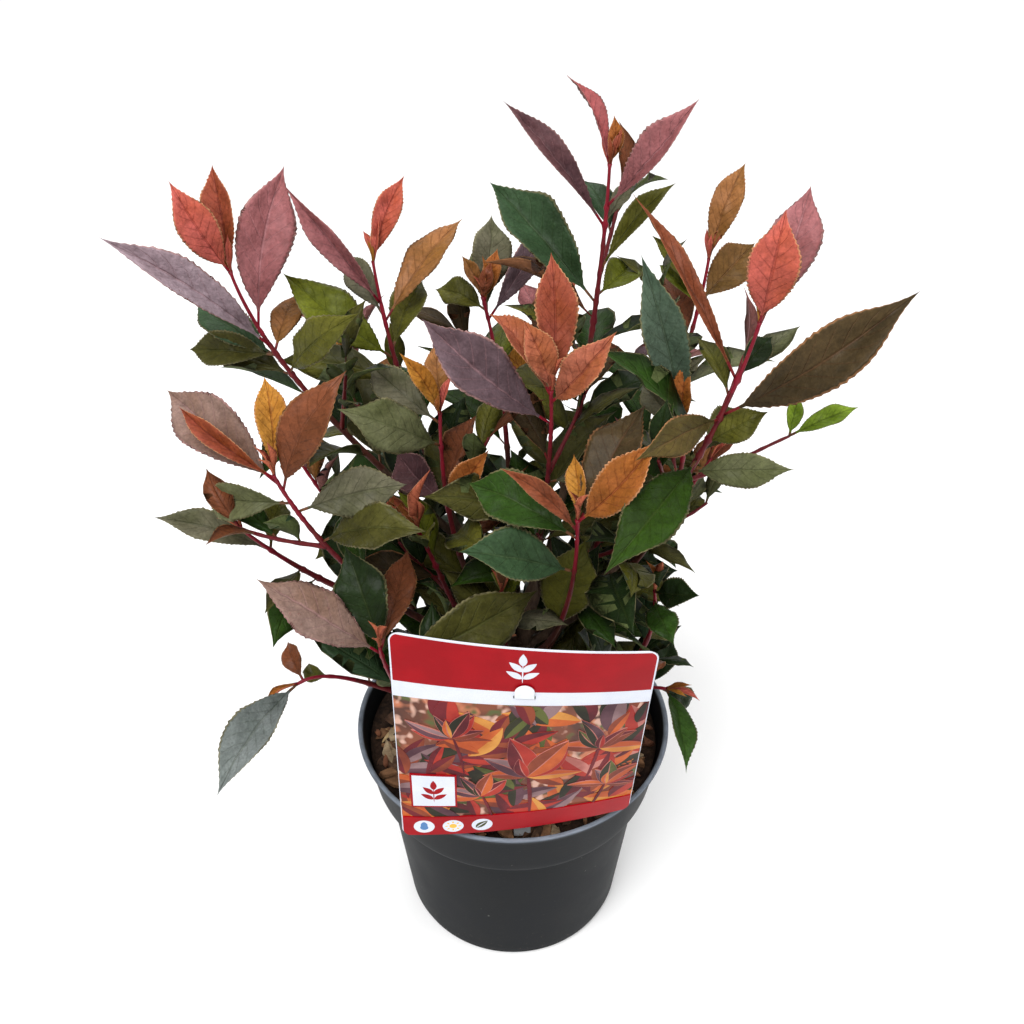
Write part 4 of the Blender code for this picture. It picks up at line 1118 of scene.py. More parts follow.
# rounds a section: each corner is cut to a short arc (a quadratic through it), and long runs
# get points of their own so that the skin shades evenly
def rounded(points, share, longest):
    done = [points[0]]
    for a, b, c in zip(points[:-2], points[1:-1], points[2:]):
        back, on = np.linalg.norm(a - b), np.linalg.norm(c - b)
        cut = min(back, on, 0.012) * share
        p, q = b + (a - b) * cut / back, b + (c - b) * cut / on
        t = np.linspace(0, 1, 5)[:, None]
        run = max(int(np.linalg.norm(p - done[-1]) / longest), 1)
        done += list(between(done[-1], p, np.linspace(0, 1, run + 1)[1:-1, None]))
        done += list(p * (1 - t)**2 + b * 2 * t * (1 - t) + q * t**2)
    run = max(int(np.linalg.norm(points[-1] - done[-1]) / longest), 1)
    return np.array(done + list(between(done[-1], points[-1], np.linspace(0, 1, run + 1)[1:, None])))


# a section turned round the Z axis, (r cos turn, r sin turn, z); its ends on the axis become poles,
# and it starts inside and runs down outside for its faces to look out
def turnedShape(section, steps, wobble=None):
    angle = turns(steps)
    radius, z = section[1:-1, 0], section[1:-1, 1]
    ring = np.stack([np.cos(angle), np.sin(angle)], -1)[None] * radius[:, None, None]
    tall = np.broadcast_to(z[:, None, None], (len(z), steps, 1))
    verts = np.concatenate([ring, tall], -1)
    if wobble is not None:
        verts = wobble(verts)
    verts = np.concatenate([verts.reshape(-1, 3), [(0, 0, section[0, 1]), (0, 0, section[-1, 1])]])
    return verts, [gridFaces(len(z), steps, ring=True)[:, ::-1], capFaces(len(z), steps)[:, ::-1]]


# dark plastic: clouded, with dust low down, scuffs, pale marks, a painted highlight along the lip and
# fine turning lines
def potFinish():
    mat, tree, shader = newFinish("pot_plastic_dark", paint(20, 22, 24), 0.52, 0.08)
    place = objectPlace(tree)
    cloud = noise(tree, place, 34.0, 5.0, 0.6)
    grain = noise(tree, place, 2400.0, 2.0)
    turned = noise(tree, objectPlace(tree, (0.12, 0.12, 3.0)), 260.0, 3.0, 0.6)
    dust = ranged(tree, noise(tree, place, 620.0, 2.0, 0.7), 0.66, 0.74)
    height = put(tree, "ShaderNodeSeparateXYZ", {0: place}).outputs[2]
    low = ranged(tree, height, 0.0, 0.03, 1.0, 0.15)
    body = mixed(tree, ranged(tree, cloud, 0.35, 0.7), paint(20, 22, 24), paint(27, 29, 32))
    body = mixed(tree, times(tree, dust, times(tree, low, 0.5)), body,
                 paint(120, 108, 90))
    scuff = noise(tree, objectPlace(tree, (1, 1, 14)), 90.0, 4.0, 0.7)
    body = mixed(tree, ranged(tree, scuff, 0.68, 0.8, 0.0, 0.22), body, paint(96, 98, 100))
    marks = ranged(tree, noise(tree, place, 150.0, 5.0, 0.75), 0.69, 0.74, 0.0, 0.6)
    body = mixed(tree, marks, body, paint(150, 150, 142))
    # painted highlight: the top of the lip is lightened to a pale blue-grey, broken up by the scuffs
    lip = ranged(tree, height, pot["height"] - 0.0022, pot["height"] - 0.0006, 0.0, 0.85)
    body = mixed(tree, times(tree, lip, ranged(tree, scuff, 0.3, 0.6, 0.5, 1.0)), body,
                 paint(136, 144, 156))
    tree.links.new(ranged(tree, cloud, 0.3, 0.7, 0.46, 0.56), shader.inputs["Roughness"])
    relief = sums(tree, "ADD", times(tree, turned, 0.4), times(tree, grain, 0.4))
    finished(tree, shader, body, relief, 0.2, 0.0002)
    return mat


# the turned pot, with a ring of drain holes drilled up through its floor
def makePot():
    section = rounded(potSection(), pot["round"], pot["longest"])
    verts, faces = turnedShape(section, pot["steps"])
    made = makePiece("nursery_pot", verts, faces, [potFinish()], node="pot")
    drillZ = (-0.01, 0.0, 0.006, 0.016)
    holes = []
    for angle in (np.arange(pot["holes"]) + 0.5) * 2 * np.pi / pot["holes"]:
        x, y = pot["holeRing"] * math.cos(angle), pot["holeRing"] * math.sin(angle)
        line = np.array([(x, y, z) for z in drillZ])
        radii = np.full(len(drillZ), pot["holeRadius"])
        holes.append(tubeAlong(line, radii, pot["holeSides"]))
    drill, cuts, _, _ = joinShapes(holes)
    mesh = bpy.data.meshes.new("drill")
    mesh.from_pydata(drill.tolist(), [], [f for c in cuts for f in c.tolist()])
    cutter = addObject("drill", mesh)
    cut = made.modifiers.new("Drain holes", "BOOLEAN")
    cut.operation, cut.solver, cut.object = "DIFFERENCE", "EXACT", cutter
    graph = bpy.context.evaluated_depsgraph_get()
    done = bpy.data.meshes.new_from_object(made.evaluated_get(graph))
    made.modifiers.clear()
    made.data = done
    bpy.data.objects.remove(cutter)


makePot()
print("pot made")

# Bark mulch: a lumpy bed, chips lying on it every way, pale splinters and loose fibres

bed = {
    "z": 0.1318, "clear": 0.0010, "rings": 46, "steps": 128, "lump": 0.0016, "calmEdge": 0.004,
    "wallZ": (0.120, 0.110, 0.1045, 0.08, 0.05, 0.02, 0.0034), "reach": 0.0885,
    "byStake": (0.005, -0.079, 0.009),  # the stake's foot, and how far from it chips lie
    "byTrunk": 0.009,
}
# how many chips, their lengths, width shares and thicknesses, how wide their three rings are and
# how high in shares of the thickness, and how many of each material
chip = {
    "count": 760, "sides": 7, "lengths": (0.006, 0.026), "shares": (0.28, 0.6),
    "thicks": (0.0010, 0.0034), "rings": (0.86, 1.0, 0.9), "heights": (0.5, 0.1, -0.5),
    "poles": (0.62, -0.55), "jitter": (0.72, 1.22), "ringJitter": (0.93, 1.07), "tips": 0.22,
    "warp": 12, "rises": (-0.0008, 0.0030), "kinds": (0.34, 0.34, 0.18, 0.14),
}
# thin pieces of wood: how many, lengths, radii, how flat, material and bend
splinters = (46, (0.007, 0.020), (0.0007, 0.0017), 0.5, 4, 0.15)
fibres = (26, (0.018, 0.042), (0.0003, 0.0005), 1.0, 5, 0.9)


def bedFinish(name, base, other, rough):
    mat, tree, shader = newFinish(name, base, rough, 0.15)
    place = objectPlace(tree)
    grain = noise(tree, place, 520.0, 5.0, 0.65)
    coarse = noise(tree, place, 130.0, 3.0, 0.5)
    body = mixed(tree, ranged(tree, coarse, 0.38, 0.62), base, other)
    body = mixed(tree, 1.0, body, ranged(tree, grain, 0.25, 0.75, 0.55, 1.3), "MULTIPLY")
    finished(tree, shader, body, grain, 0.9, 0.0012)
    return mat


chipMats = [
    bedFinish("chip_dark", paint(60, 44, 36), paint(96, 70, 54), 0.9),
    bedFinish("chip_brown", paint(152, 112, 80), paint(118, 84, 60), 0.88),
    bedFinish("chip_red", paint(148, 96, 68), paint(110, 70, 52), 0.88),
    bedFinish("chip_grey", paint(192, 168, 134), paint(144, 122, 96), 0.9),
    bedFinish("wood_pale", paint(206, 178, 132), paint(182, 146, 98), 0.7),
    bedFinish("fibre_tan", paint(164, 124, 82), paint(136, 98, 62), 0.8),
]


# lumpy rings from the middle to the pot's wall, then down along it and back under
def makeBed():
    inside = potInside(bed["z"]) - bed["clear"]
    radius = inside * np.linspace(0, 1, bed["rings"])[1:]
    top = np.stack([radius, np.full(len(radius), bed["z"])], -1)
    wall = [(potInside(z) - bed["clear"], z) for z in bed["wallZ"]]
    section = np.concatenate([[(0, bed["z"])], top, wall, [(0, bed["wallZ"][-1])]])

    def wobble(verts):
        x, y = verts[: len(radius), :, 0], verts[: len(radius), :, 1]
        calm = 1 - np.clip((np.hypot(x, y) - inside + bed["calmEdge"]) / bed["calmEdge"], 0, 1)
        push = lumps(x, y, x * 0 + 0.4, 0.006, 5) + 0.6 * lumps(x, y, x * 0, 0.0022, 6)
        verts[: len(radius), :, 2] += bed["lump"] * push * calm
        return verts

    verts, faces = turnedShape(section, bed["steps"], wobble)
    faces = [f[:, ::-1] for f in faces]  # its section runs from the top's middle outwards and down
    soil = bedFinish("soil_dark", paint(38, 28, 23), paint(58, 42, 32), 0.95)
    makePiece("mulch_bed", verts, faces, [soil], node="soil")


# where the chips lie: evenly over the bed, but not on the trunk or the stake's foot
def chipPlaces(length, rng):
    away = (bed["reach"] - length * 0.42) * np.sqrt(rng.uniform(0.0, 1, len(length)))
    around = rng.uniform(0, 2 * np.pi, len(length))
    away = np.maximum(away, bed["byTrunk"])
    place = np.stack([away * np.cos(around), away * np.sin(around)], -1)
    *foot, room = bed["byStake"]
    apart = place - np.array(foot)
    gap = np.linalg.norm(apart, axis=1, keepdims=True)
    return np.where(gap < room, np.array(foot) + apart / gap * room, place)


# Bark chips, all at once: three rings of corners each, a wide one between two smaller ones,
# radius * jitter on a long oval, closed by a point above and one below, warped as x^2, each turned
# about Z and tipped a little
def chipShapes(rng):
    count, sides = chip["count"], chip["sides"]
    turn = turns(sides)
    length = rng.uniform(0, 1, count)**1.6 * np.ptp(chip["lengths"]) + chip["lengths"][0]
    share = rng.uniform(*chip["shares"], count)
    thick = rng.uniform(*chip["thicks"], count) * (0.6 + length / 0.02)
    yaw, tip = rng.uniform(0, 6.3, count), rng.normal(0, chip["tips"], count)
    lean = rng.uniform(0, 6.3, count)
    ring = np.array(chip["rings"])[None, :, None] * rng.uniform(*chip["jitter"], (count, 1, sides))
    ring = ring * rng.uniform(*chip["ringJitter"], (count, 3, sides))
    x = ring * np.cos(turn) * length[:, None, None] / 2
    y = ring * np.sin(turn) * (length * share)[:, None, None] / 2
    z = np.array(chip["heights"])[None, :, None] * thick[:, None, None]
    z = z + rng.normal(0, 0.10, x.shape) * thick[:, None, None]
    verts = np.stack(np.broadcast_arrays(x, y, z), -1).reshape(count, -1, 3)
    poles = np.zeros((count, 2, 3))
    poles[:, :, 2] = thick[:, None] * np.array(chip["poles"])
    verts = np.concatenate([verts, poles], 1)
    verts[..., 2] += verts[..., 0]**2 * rng.normal(0, chip["warp"], count)[:, None]
    normal = np.stack([np.sin(tip) * np.cos(lean), np.sin(tip) * np.sin(lean), np.cos(tip)], -1)
    flat = np.stack([np.cos(yaw), np.sin(yaw), yaw * 0], -1)
    flat = unit(flat - normal * (flat * normal).sum(-1, keepdims=True))
    axes = np.stack([flat, np.cross(normal, flat), normal], 1)
    verts = np.einsum("nvk,nkd->nvd", verts, axes)
    place = chipPlaces(length, rng)
    rise = bed["z"] + thick * 0.35 + rng.uniform(*chip["rises"], count)
    verts = verts + np.concatenate([place, rise[:, None]], 1)[:, None]
    flatWay = np.hypot(verts[..., 0], verts[..., 1])
    verts[..., :2] *= np.minimum(1, bed["reach"] / np.maximum(flatWay, 1e-6))[..., None]
    rings = gridFaces(3, sides, ring=True)[:, ::-1]
    caps = capFaces(3, sides)[:, ::-1]
    size = 3 * sides + 2
    start = (np.arange(count) * size)[:, None, None]
    faces = [(rings[None] + start).reshape(-1, 4), (caps[None] + start).reshape(-1, 3)]
    kind = rng.choice(len(chip["kinds"]), count, p=chip["kinds"])
    slots = [np.repeat(kind, len(rings)), np.repeat(kind, len(caps))]
    return verts.reshape(-1, 3), faces, slots, np.zeros((count * size, 2))


# thin tubes that lie on the bed, bent aside as t^2 and slimmer at both ends as |2t|^3, pressed flat
def slivers(rng, count, lengths, radius, flat, slot, bend):
    shapes = []
    for _ in range(count):
        length, yaw = rng.uniform(*lengths), rng.uniform(0, 6.3)
        away = (bed["reach"] - length * 0.55) * math.sqrt(rng.uniform(0, 1))
        around = rng.uniform(0, 6.3)
        middle = np.array((away * math.cos(around), away * math.sin(around), bed["z"] + 0.0032))
        t = np.linspace(-0.5, 0.5, 9)[:, None]
        ahead = np.array((math.cos(yaw), math.sin(yaw), rng.normal(0, 0.06)))
        aside = np.array((-math.sin(yaw), math.cos(yaw), 0))
        curve = rng.normal(0, bend)
        path = middle + ahead * length * t + aside * length * curve * (t**2 - 0.08)
        path[:, 2] += rng.uniform(0, 0.0012)
        size = rng.uniform(*radius) * (1 - np.abs(t[:, 0] * 2)**3 * 0.75)
        verts, faces, slots, uv = tubeAlong(path, size, 6, 0.0, slot)
        squash = path.repeat(6, axis=0)[:, 2]
        verts[:-2, 2] = squash + (verts[:-2, 2] - squash) * flat
        shapes.append((verts, faces, slots, uv))
    return shapes


def makeMulch():
    rng = np.random.default_rng(11)
    shapes = [chipShapes(rng)] + slivers(rng, *splinters) + slivers(rng, *fibres)
    verts, faces, slots, uv = joinShapes(shapes)
    makePiece("bark_chips", verts, faces, chipMats, slots, uv, smooth=False)


makeBed()
makeMulch()
print("mulch made")

# The hanging label: a bent plastic card and what is printed on it

# its corners in millimetres, the rest in metres, slitAcross and slitHigh in shares of its size
card = {
    "corners": {"bottomLeft": (-60, -94, 152), "bottomRight": (64, -77, 154),
                "topLeft": (-57, -105, 309), "topRight": (66, -112, 303)},
    "size": (0.124, 0.157), "thick": 0.0006, "round": 0.006, "bulge": 0.005,
    "slit": (0.0106, 0.0028), "slitAcross": 0.51, "slitHigh": 0.765,
    "columns": 24, "bySlit": 4, "rows": (9, 40, 14),
    "header": 0.1246, "picture": (0.0168, 0.1138), "foot": 0.0010, "margin": 0.0008, "side": 0.0004,
    "frame": 0.0005, "sunk": 0.00002, "print": 0.00003, "level": 0.000004,
}
halfCard = card["size"][0] / 2


# a point of the card from its flat place: straight between the corners, standing out to the
# front as 4 across (1 - across)
def cardPoints(x, z):
    corner = {name: np.array(place) / 1000 for name, place in card["corners"].items()}
    across, high = (x / card["size"][0] + 0.5)[..., None], (z / card["size"][1])[..., None]
    low = between(corner["bottomLeft"], corner["bottomRight"], across)
    top = between(corner["topLeft"], corner["topRight"], across)
    return between(low, top, high) - np.array((0, card["bulge"], 0)) * 4 * across * (1 - across)


def cardAcross(x, z, step=0.001):
    return cardPoints(x + step, z) - cardPoints(x - step, z)


def cardOutward(x, z, step=0.001):
    upward = cardPoints(x, z + step) - cardPoints(x, z - step)
    return unit(np.cross(cardAcross(x, z, step), upward))


# a sheet that follows the card between two depths, from flat places on a grid: the quads that
# keep says, front and back, and walls along every open edge
def cardSheet(x, z, low, high, keep=None, slot=0, flip=False):
    rows, columns = x.shape
    out = cardOutward(x, z)
    middle = cardPoints(x, z)
    verts = np.concatenate([(middle + out * high).reshape(-1, 3), (middle + out * low).reshape(-1, 3)])
    front = gridFaces(rows, columns)
    if flip:
        front = front[:, ::-1]
    if keep is not None:
        front = front[keep.ravel()]
    count = rows * columns
    edges = np.stack([front, np.roll(front, -1, 1)], -1).reshape(-1, 2)
    there = set(map(tuple, edges.tolist()))
    rim = np.array([e for e in edges.tolist() if (e[1], e[0]) not in there])
    walls = np.stack([rim[:, 1], rim[:, 0], rim[:, 0] + count, rim[:, 1] + count], -1)
    faces = np.concatenate([front, front[:, ::-1] + count, walls])
    flat = np.stack([x / card["size"][0] + 0.5, z / card["size"][1]], -1).reshape(-1, 2)
    return verts, [faces], [np.full(len(faces), slot)], np.concatenate([flat, flat])


def cardEdge(z):  # half the card's width at a height, narrower in the corners
    high, radius = card["size"][1], card["round"]
    inset = np.maximum(np.maximum(radius - z, z - (high - radius)), 0)
    return halfCard - radius + np.sqrt(np.maximum(radius**2 - inset**2, 0))


# glossy ink or card: a faint cloud of two colours with a fine grain of dots
def printFinish(name, base, other):
    mat, tree, shader = newFinish(name, base, 0.34, 0.08)
    place = objectPlace(tree)
    dots = noise(tree, place, 3000.0, 1.0)
    cloud = noise(tree, place, 60.0, 3.0)
    body = mixed(tree, ranged(tree, cloud, 0.4, 0.6), base, other)
    body = mixed(tree, 1.0, body, ranged(tree, dots, 0.3, 0.7, 0.93, 1.06), "MULTIPLY")
    finished(tree, shader, body, noise(tree, place, 240.0, 3.0), 0.12, 0.0004)
    return mat


# The card from a grid whose rows run from arc to arc of its round corners and whose columns are
# shares of its width at each height, upright beside the slit, which is left open
def makeCard():
    arcRows, lowRows, topRows = card["rows"]
    columns, near = card["columns"], card["bySlit"]
    slitX, slitZ = (card["slitAcross"] - 0.5) * card["size"][0], card["slitHigh"] * card["size"][1]
    wide, tall = (size / 2 for size in card["slit"])
    arc = card["round"] * (1 - np.cos(np.linspace(0, np.pi / 2, arcRows)))
    high = card["size"][1]
    z = np.concatenate([arc, np.linspace(arc[-1], slitZ - tall, lowRows)[1:], [slitZ, slitZ + tall],
                        np.linspace(slitZ + tall, high - arc[-1], topRows)[1:], high - arc[::-1][1:]])
    share = np.concatenate([np.linspace(-1, (slitX - wide) / halfCard, columns), [slitX / halfCard],
                            np.linspace((slitX + wide) / halfCard, 1, columns)])
    x = share[None, :] * cardEdge(z)[:, None]
    upright = slice(columns - near, columns + near + 1)
    x[:, upright] = (share[upright] * halfCard)[None, :]
    z = np.broadcast_to(z[:, None], x.shape)
    centreX = (x[1:, 1:] + x[:-1, :-1]) / 2
    centreZ = (z[1:, 1:] + z[:-1, :-1]) / 2
    keep = ~((np.abs(centreX - slitX) < wide) & (np.abs(centreZ - slitZ) < tall))
    half = card["thick"] / 2
    verts, faces, slots, uv = joinShapes([cardSheet(x, z, -half, half, keep)])
    plain = printFinish("card_white", paint(222, 226, 236), paint(216, 221, 233))
    makePiece("label_plate", verts, faces, [plain], slots, uv, node="label_card",
              crease=40)


inks = {
    "red": ((160, 6, 20), (150, 5, 18)), "white": ((222, 226, 236), (214, 219, 232)),
    "ground": ((128, 70, 48), (84, 52, 42)),
    "scarlet": ((172, 56, 44), (148, 40, 34)), "flame": ((196, 98, 48), (170, 76, 38)),
    "amber": ((206, 144, 70), (184, 116, 52)), "wine": ((110, 36, 42), (82, 28, 34)),
    "violet": ((96, 64, 72), (74, 46, 54)), "rust": ((140, 68, 44), (112, 50, 36)),
    "fern": ((92, 96, 48), (68, 72, 36)), "deep": ((52, 50, 34), (38, 36, 26)),
    "rose": ((190, 122, 112), (160, 92, 84)), "mauve": ((142, 114, 116), (116, 88, 90)),
    "blue": ((96, 140, 190), (80, 124, 176)), "yellow": ((240, 196, 84), (232, 180, 70)),
}
inkPlaces = {name: k for k, name in enumerate(inks)}
# the colour of a printed leaf's shaded half
shaded = {"scarlet": "wine", "flame": "rust", "amber": "flame", "wine": "deep", "violet": "deep",
          "rust": "wine", "fern": "deep", "rose": "scarlet", "mauve": "violet", "deep": "deep"}
# What the picture shows: layers of loose leaves as (how many, length), with how often each colour
# comes, then sprigs of leaves round one point as (x, z, length, turn), and in each a fan of leaves
# as (turn, share of the length, colour), all in metres and degrees
picture = {
    "layers": ((64, 0.036), (52, 0.028)), "lengths": (0.7, 1.2), "widths": (0.26, 0.4),
    "bends": (-0.25, 0.25), "headings": (90, 58), "below": 0.012,
    "hues": {"rust": 5, "amber": 2.4, "flame": 3, "wine": 3, "fern": 2, "deep": 0.6, "mauve": 2.4,
             "rose": 2, "scarlet": 2, "violet": 2},
    "sprigs": ((0.040, 0.074, 0.026, -8), (-0.034, 0.086, 0.022, 12), (0.004, 0.052, 0.030, 4),
               (0.046, 0.036, 0.020, -14), (-0.020, 0.036, 0.019, 16)),
    "fanLengths": (0.75, 1.15), "fanWidths": (0.26, 0.42), "fanBends": (-0.35, 0.35),
    "fanTurns": (-15, 15), "ownColour": 0.6, "stem": (0.15, 1.6, 0.07), "midrib": (0.9, 0.0005),
    "edge": (0.00015, 0.0003),
    "fan": ((168, 0.95, "flame"), (12, 0.95, "rust"), (140, 1.0, "mauve"), (38, 1.0, "scarlet"),
            (112, 1.08, "violet"), (66, 1.08, "flame"), (90, 0.62, "amber")),
}


# the picture's backdrop: soft clouds of four autumn colours, as a lens throws out of focus
def backdropFinish(name, base, other):
    mat, tree, shader = newFinish(name, base, 0.34, 0.14)
    place = objectPlace(tree)
    body = mixed(tree, ranged(tree, noise(tree, place, 62.0, 1.0), 0.36, 0.6), base, other)
    for k, (scale, colour) in enumerate(((88.0, (190, 116, 84)), (104.0, (86, 92, 50)),
                                         (126.0, (206, 164, 146)))):
        drift = objectPlace(tree, (1 + 0.13 * k, 1, 1.2 - 0.1 * k))
        body = mixed(tree, ranged(tree, noise(tree, drift, scale, 1.0), 0.55, 0.66), body, paint(*colour))
    finished(tree, shader, body, noise(tree, place, 240.0, 3.0), 0.12, 0.0004)
    return mat


def printDepth(level):  # how far a print goes into the card and stands out of it
    half = card["thick"] / 2
    return half - card["sunk"], half + card["print"] + level * card["level"]


def box2d(x0, x1, z0, z1, level, ink, step=0.001):
    x = np.linspace(x0, x1, max(int((x1 - x0) / step), 1) + 1)
    z = np.linspace(z0, z1, max(int((z1 - z0) / step / 3), 1) + 1)
    x, z = np.meshgrid(x, z)
    return cardSheet(x, z, *printDepth(level), slot=inkPlaces[ink])


# a band from edge to edge that follows the card's round corners, a margin inside them
def band(z0, z1, level, ink):
    z = z0 + (z1 - z0) * (1 - np.cos(np.linspace(0, np.pi, 33))) / 2
    edge = cardEdge(z) - card["margin"]
    x = np.linspace(-1, 1, 97)[None, :] * edge[:, None]
    return cardSheet(x, np.broadcast_to(z[:, None], x.shape), *printDepth(level), slot=inkPlaces[ink])


def squeezed(v, low, high):  # what runs past the picture's frame is pressed into its edge
    width = card["frame"]
    v = np.where(v > high - width, high - width * np.exp(-np.maximum(v - high + width, 0) / 0.004), v)
    return np.where(v < low + width, low + width * np.exp(-np.maximum(low + width - v, 0) / 0.004), v)


# a printed leaf: half its width is sin(pi t) leaning to its foot, along a bent midrib, one half lit
# and the other shaded; framed ones stay inside the picture
def leaf2d(x, z, heading, length, width, bend, level, ink, other=None, framed=False):
    t = np.linspace(0, 1, 14)
    w = np.linspace(-1, 1, 5)
    heading = math.radians(heading)
    ahead = np.array((math.cos(heading), math.sin(heading)))
    side = np.array((-math.sin(heading), math.cos(heading)))
    bent = side * length * bend * (t[:, None] * (1 - t[:, None]))
    middle = np.array((x, z)) + ahead * length * t[:, None] + bent
    reach = width / 2 * np.sin(np.pi * t**0.8)**0.9 + 0.00004
    place = middle[:, None] + side * (reach[:, None] * w[None, :])[..., None]
    px, pz = place[..., 0], place[..., 1]
    if framed:
        half = halfCard - card["side"]
        px, pz = squeezed(px, -half, half), squeezed(pz, *card["picture"])
    shape = cardSheet(px, pz, *printDepth(level), slot=inkPlaces[ink], flip=True)
    if other:
        front = (len(t) - 1) * (len(w) - 1)
        shape[2][0][:front] = np.tile([inkPlaces[ink]] * 2 + [inkPlaces[other]] * 2, len(t) - 1)
    return shape


def disc2d(x, z, radius, level, ink):
    r = np.array((0.02, 0.5, 1.0)) * radius
    a = np.linspace(0, 2 * np.pi, 33)
    px, pz = x + r[:, None] * np.cos(a), z + r[:, None] * np.sin(a)
    return cardSheet(px, pz, *printDepth(level), slot=inkPlaces[ink])


# the picture: leaves upon leaves, no two alike, each with a level of its own, then the sprigs
# with pale-edged leaves
def makePicture(rng):
    low, high = card["picture"]
    side = halfCard - card["side"]
    shapes = [box2d(-side, side, low, high, 0, "ground")]
    hues, chance = list(picture["hues"]), np.array(list(picture["hues"].values()))

    def anyHue():
        return hues[rng.choice(len(hues), p=chance / chance.sum())]

    level = 1
    for count, size in picture["layers"]:
        for _ in range(count):
            length, heading = size * rng.uniform(*picture["lengths"]), rng.normal(*picture["headings"])
            x0 = rng.uniform(-halfCard, halfCard)
            z0 = rng.uniform(low - picture["below"], high - picture["below"])
            ink = anyHue()
            width, bend = length * rng.uniform(*picture["widths"]), rng.uniform(*picture["bends"])
            shapes.append(leaf2d(x0, z0, heading, length, width, bend, level, ink, shaded[ink],
                                 framed=True))
            level += 1
    (lift, long, slim), (ribLong, ribWide) = picture["stem"], picture["midrib"]
    longer, wider = picture["edge"]
    for x0, z0, size, lean in picture["sprigs"]:
        shapes.append(leaf2d(x0, z0 + size * lift, 268 + lean, size * long, size * slim, 0.1, level,
                             "wine", framed=True))
        for turn, share, ink in picture["fan"]:
            length = size * share * rng.uniform(*picture["fanLengths"])
            width = length * rng.uniform(*picture["fanWidths"])
            bend = rng.uniform(*picture["fanBends"])
            turn += lean + rng.uniform(*picture["fanTurns"])
            ink = ink if rng.uniform() < picture["ownColour"] else anyHue()
            shapes += [
                leaf2d(x0, z0, turn, length + longer, width + wider, bend, level + 1, "rose", None, True),
                leaf2d(x0, z0, turn, length, width, bend, level + 2, ink, shaded[ink], True),
                leaf2d(x0, z0, turn, length * ribLong, ribWide, bend, level + 3, "rose", None, True),
            ]
            level += 3
    return shapes, level + 2


# The foot's three plain signs (water, sun and leaf), each of them parts round its own middle: a disc
# as (x, z, radius, level, ink) or a leaf as (x, z, heading, length, width, bend, level, ink)
signs = {
    "first": -0.050, "apart": 0.0155, "high": 0.52, "disc": 0.0056,
    "sunRays": 8, "rayFrom": 0.0027, "ray": (0.0018, 0.0009, 0, 3, "yellow"),
    "drop": ((0, -0.0009, 0.0022, 3, "blue"), (0, 0.0042, 270, 0.0070, 0.0036, 0, 4, "blue")),
    "sun": ((0, 0, 0.0020, 3, "yellow"),),
    "leaf": ((-0.0032, -0.0028, 45, 0.0088, 0.0042, 0.1, 3, "fern"),
             (-0.0032, -0.0028, 45, 0.0080, 0.0006, 0.1, 4, "white")),
}
# the panel from the picture's lower left corner, as (left, right, bottom, top), with its frame, and
# the sprigs in it and in the header as (x, z, size, ink, level above)
panel = {"place": (0.007, 0.029, 0.011, 0.037), "frame": 0.001, "sprig": (0.018, 0.0155, 0.0098)}
header = {"sprig": (0.0, 0.1330, 0.0112), "level": 2}
sprig = {
    "leaves": ((1, 35, 0.15), (-1, 145, 0.15), (1, 48, 0.62), (-1, 132, 0.62), (0, 90, 1.0)),
    "stem": (0.12, 1.35, 0.05), "leaf": (0.8, 0.34, 0.12), "aside": 0.03,
}


def signShapes(level):
    shapes = []
    for k, sign in enumerate(("drop", "sun", "leaf")):
        x0, z0 = signs["first"] + k * signs["apart"], card["picture"][0] * signs["high"]
        shapes.append(disc2d(x0, z0, signs["disc"], level + 1, "white"))
        for x, z, *sizes, above, ink in signs[sign]:
            draw = disc2d if len(sizes) == 1 else leaf2d
            shapes.append(draw(x0 + x, z0 + z, *sizes, level + above, ink))
        if sign == "sun":
            length, width, bend, above, ink = signs["ray"]
            for turn in np.degrees(turns(signs["sunRays"])):
                x = x0 + signs["rayFrom"] * math.cos(math.radians(turn))
                z = z0 + signs["rayFrom"] * math.sin(math.radians(turn))
                shapes.append(leaf2d(x, z, turn, length, width, bend, level + above, ink))
    return shapes


def sprigShapes(x0, z0, size, ink, level):  # a stem with two pairs of leaves and one on top
    (down, long, slim), (length, width, bend) = sprig["stem"], sprig["leaf"]
    shapes = [leaf2d(x0, z0 - size * down, 90, size * long, size * slim, 0, level, ink)]
    for way, turn, rise in sprig["leaves"]:
        shapes.append(leaf2d(x0 + way * size * sprig["aside"], z0 + size * rise, turn, size * length,
                             size * width, bend * way, level + 1, ink))
    return shapes


# everything that is printed: the picture, the bands above and below, the signs and the sprigs
def makePrint():
    low = card["picture"][0]
    shapes, level = makePicture(np.random.default_rng(23))
    shapes.append(band(card["header"], card["size"][1] - card["foot"], 0, "red"))
    shapes.append(band(card["foot"], low + 0.0004, level, "red"))
    shapes += signShapes(level)
    left, right, bottom, top = panel["place"]
    for edge, above, ink in ((panel["frame"], 0, "red"), (0, 2, "white")):
        shapes.append(box2d(-halfCard + left - edge, -halfCard + right + edge, low + bottom - edge,
                            low + top + edge, level + above, ink))
    x0, z0, size = panel["sprig"]
    shapes += sprigShapes(-halfCard + x0, low + z0, size, "red", level + 4)
    shapes += sprigShapes(*header["sprig"], "white", header["level"])
    verts, faces, slots, uv = joinShapes(shapes)
    mats = [(backdropFinish if name == "ground" else printFinish)("ink_" + name, paint(*a), paint(*b))
            for name, (a, b) in inks.items()]
    makePiece("label_print", verts, faces, mats, slots, uv, crease=40)


makeCard()
makePrint()
print("label made")

# The stake that holds the label: a flat strip from the mulch up behind the card, through the
# slit, with a round tab in front

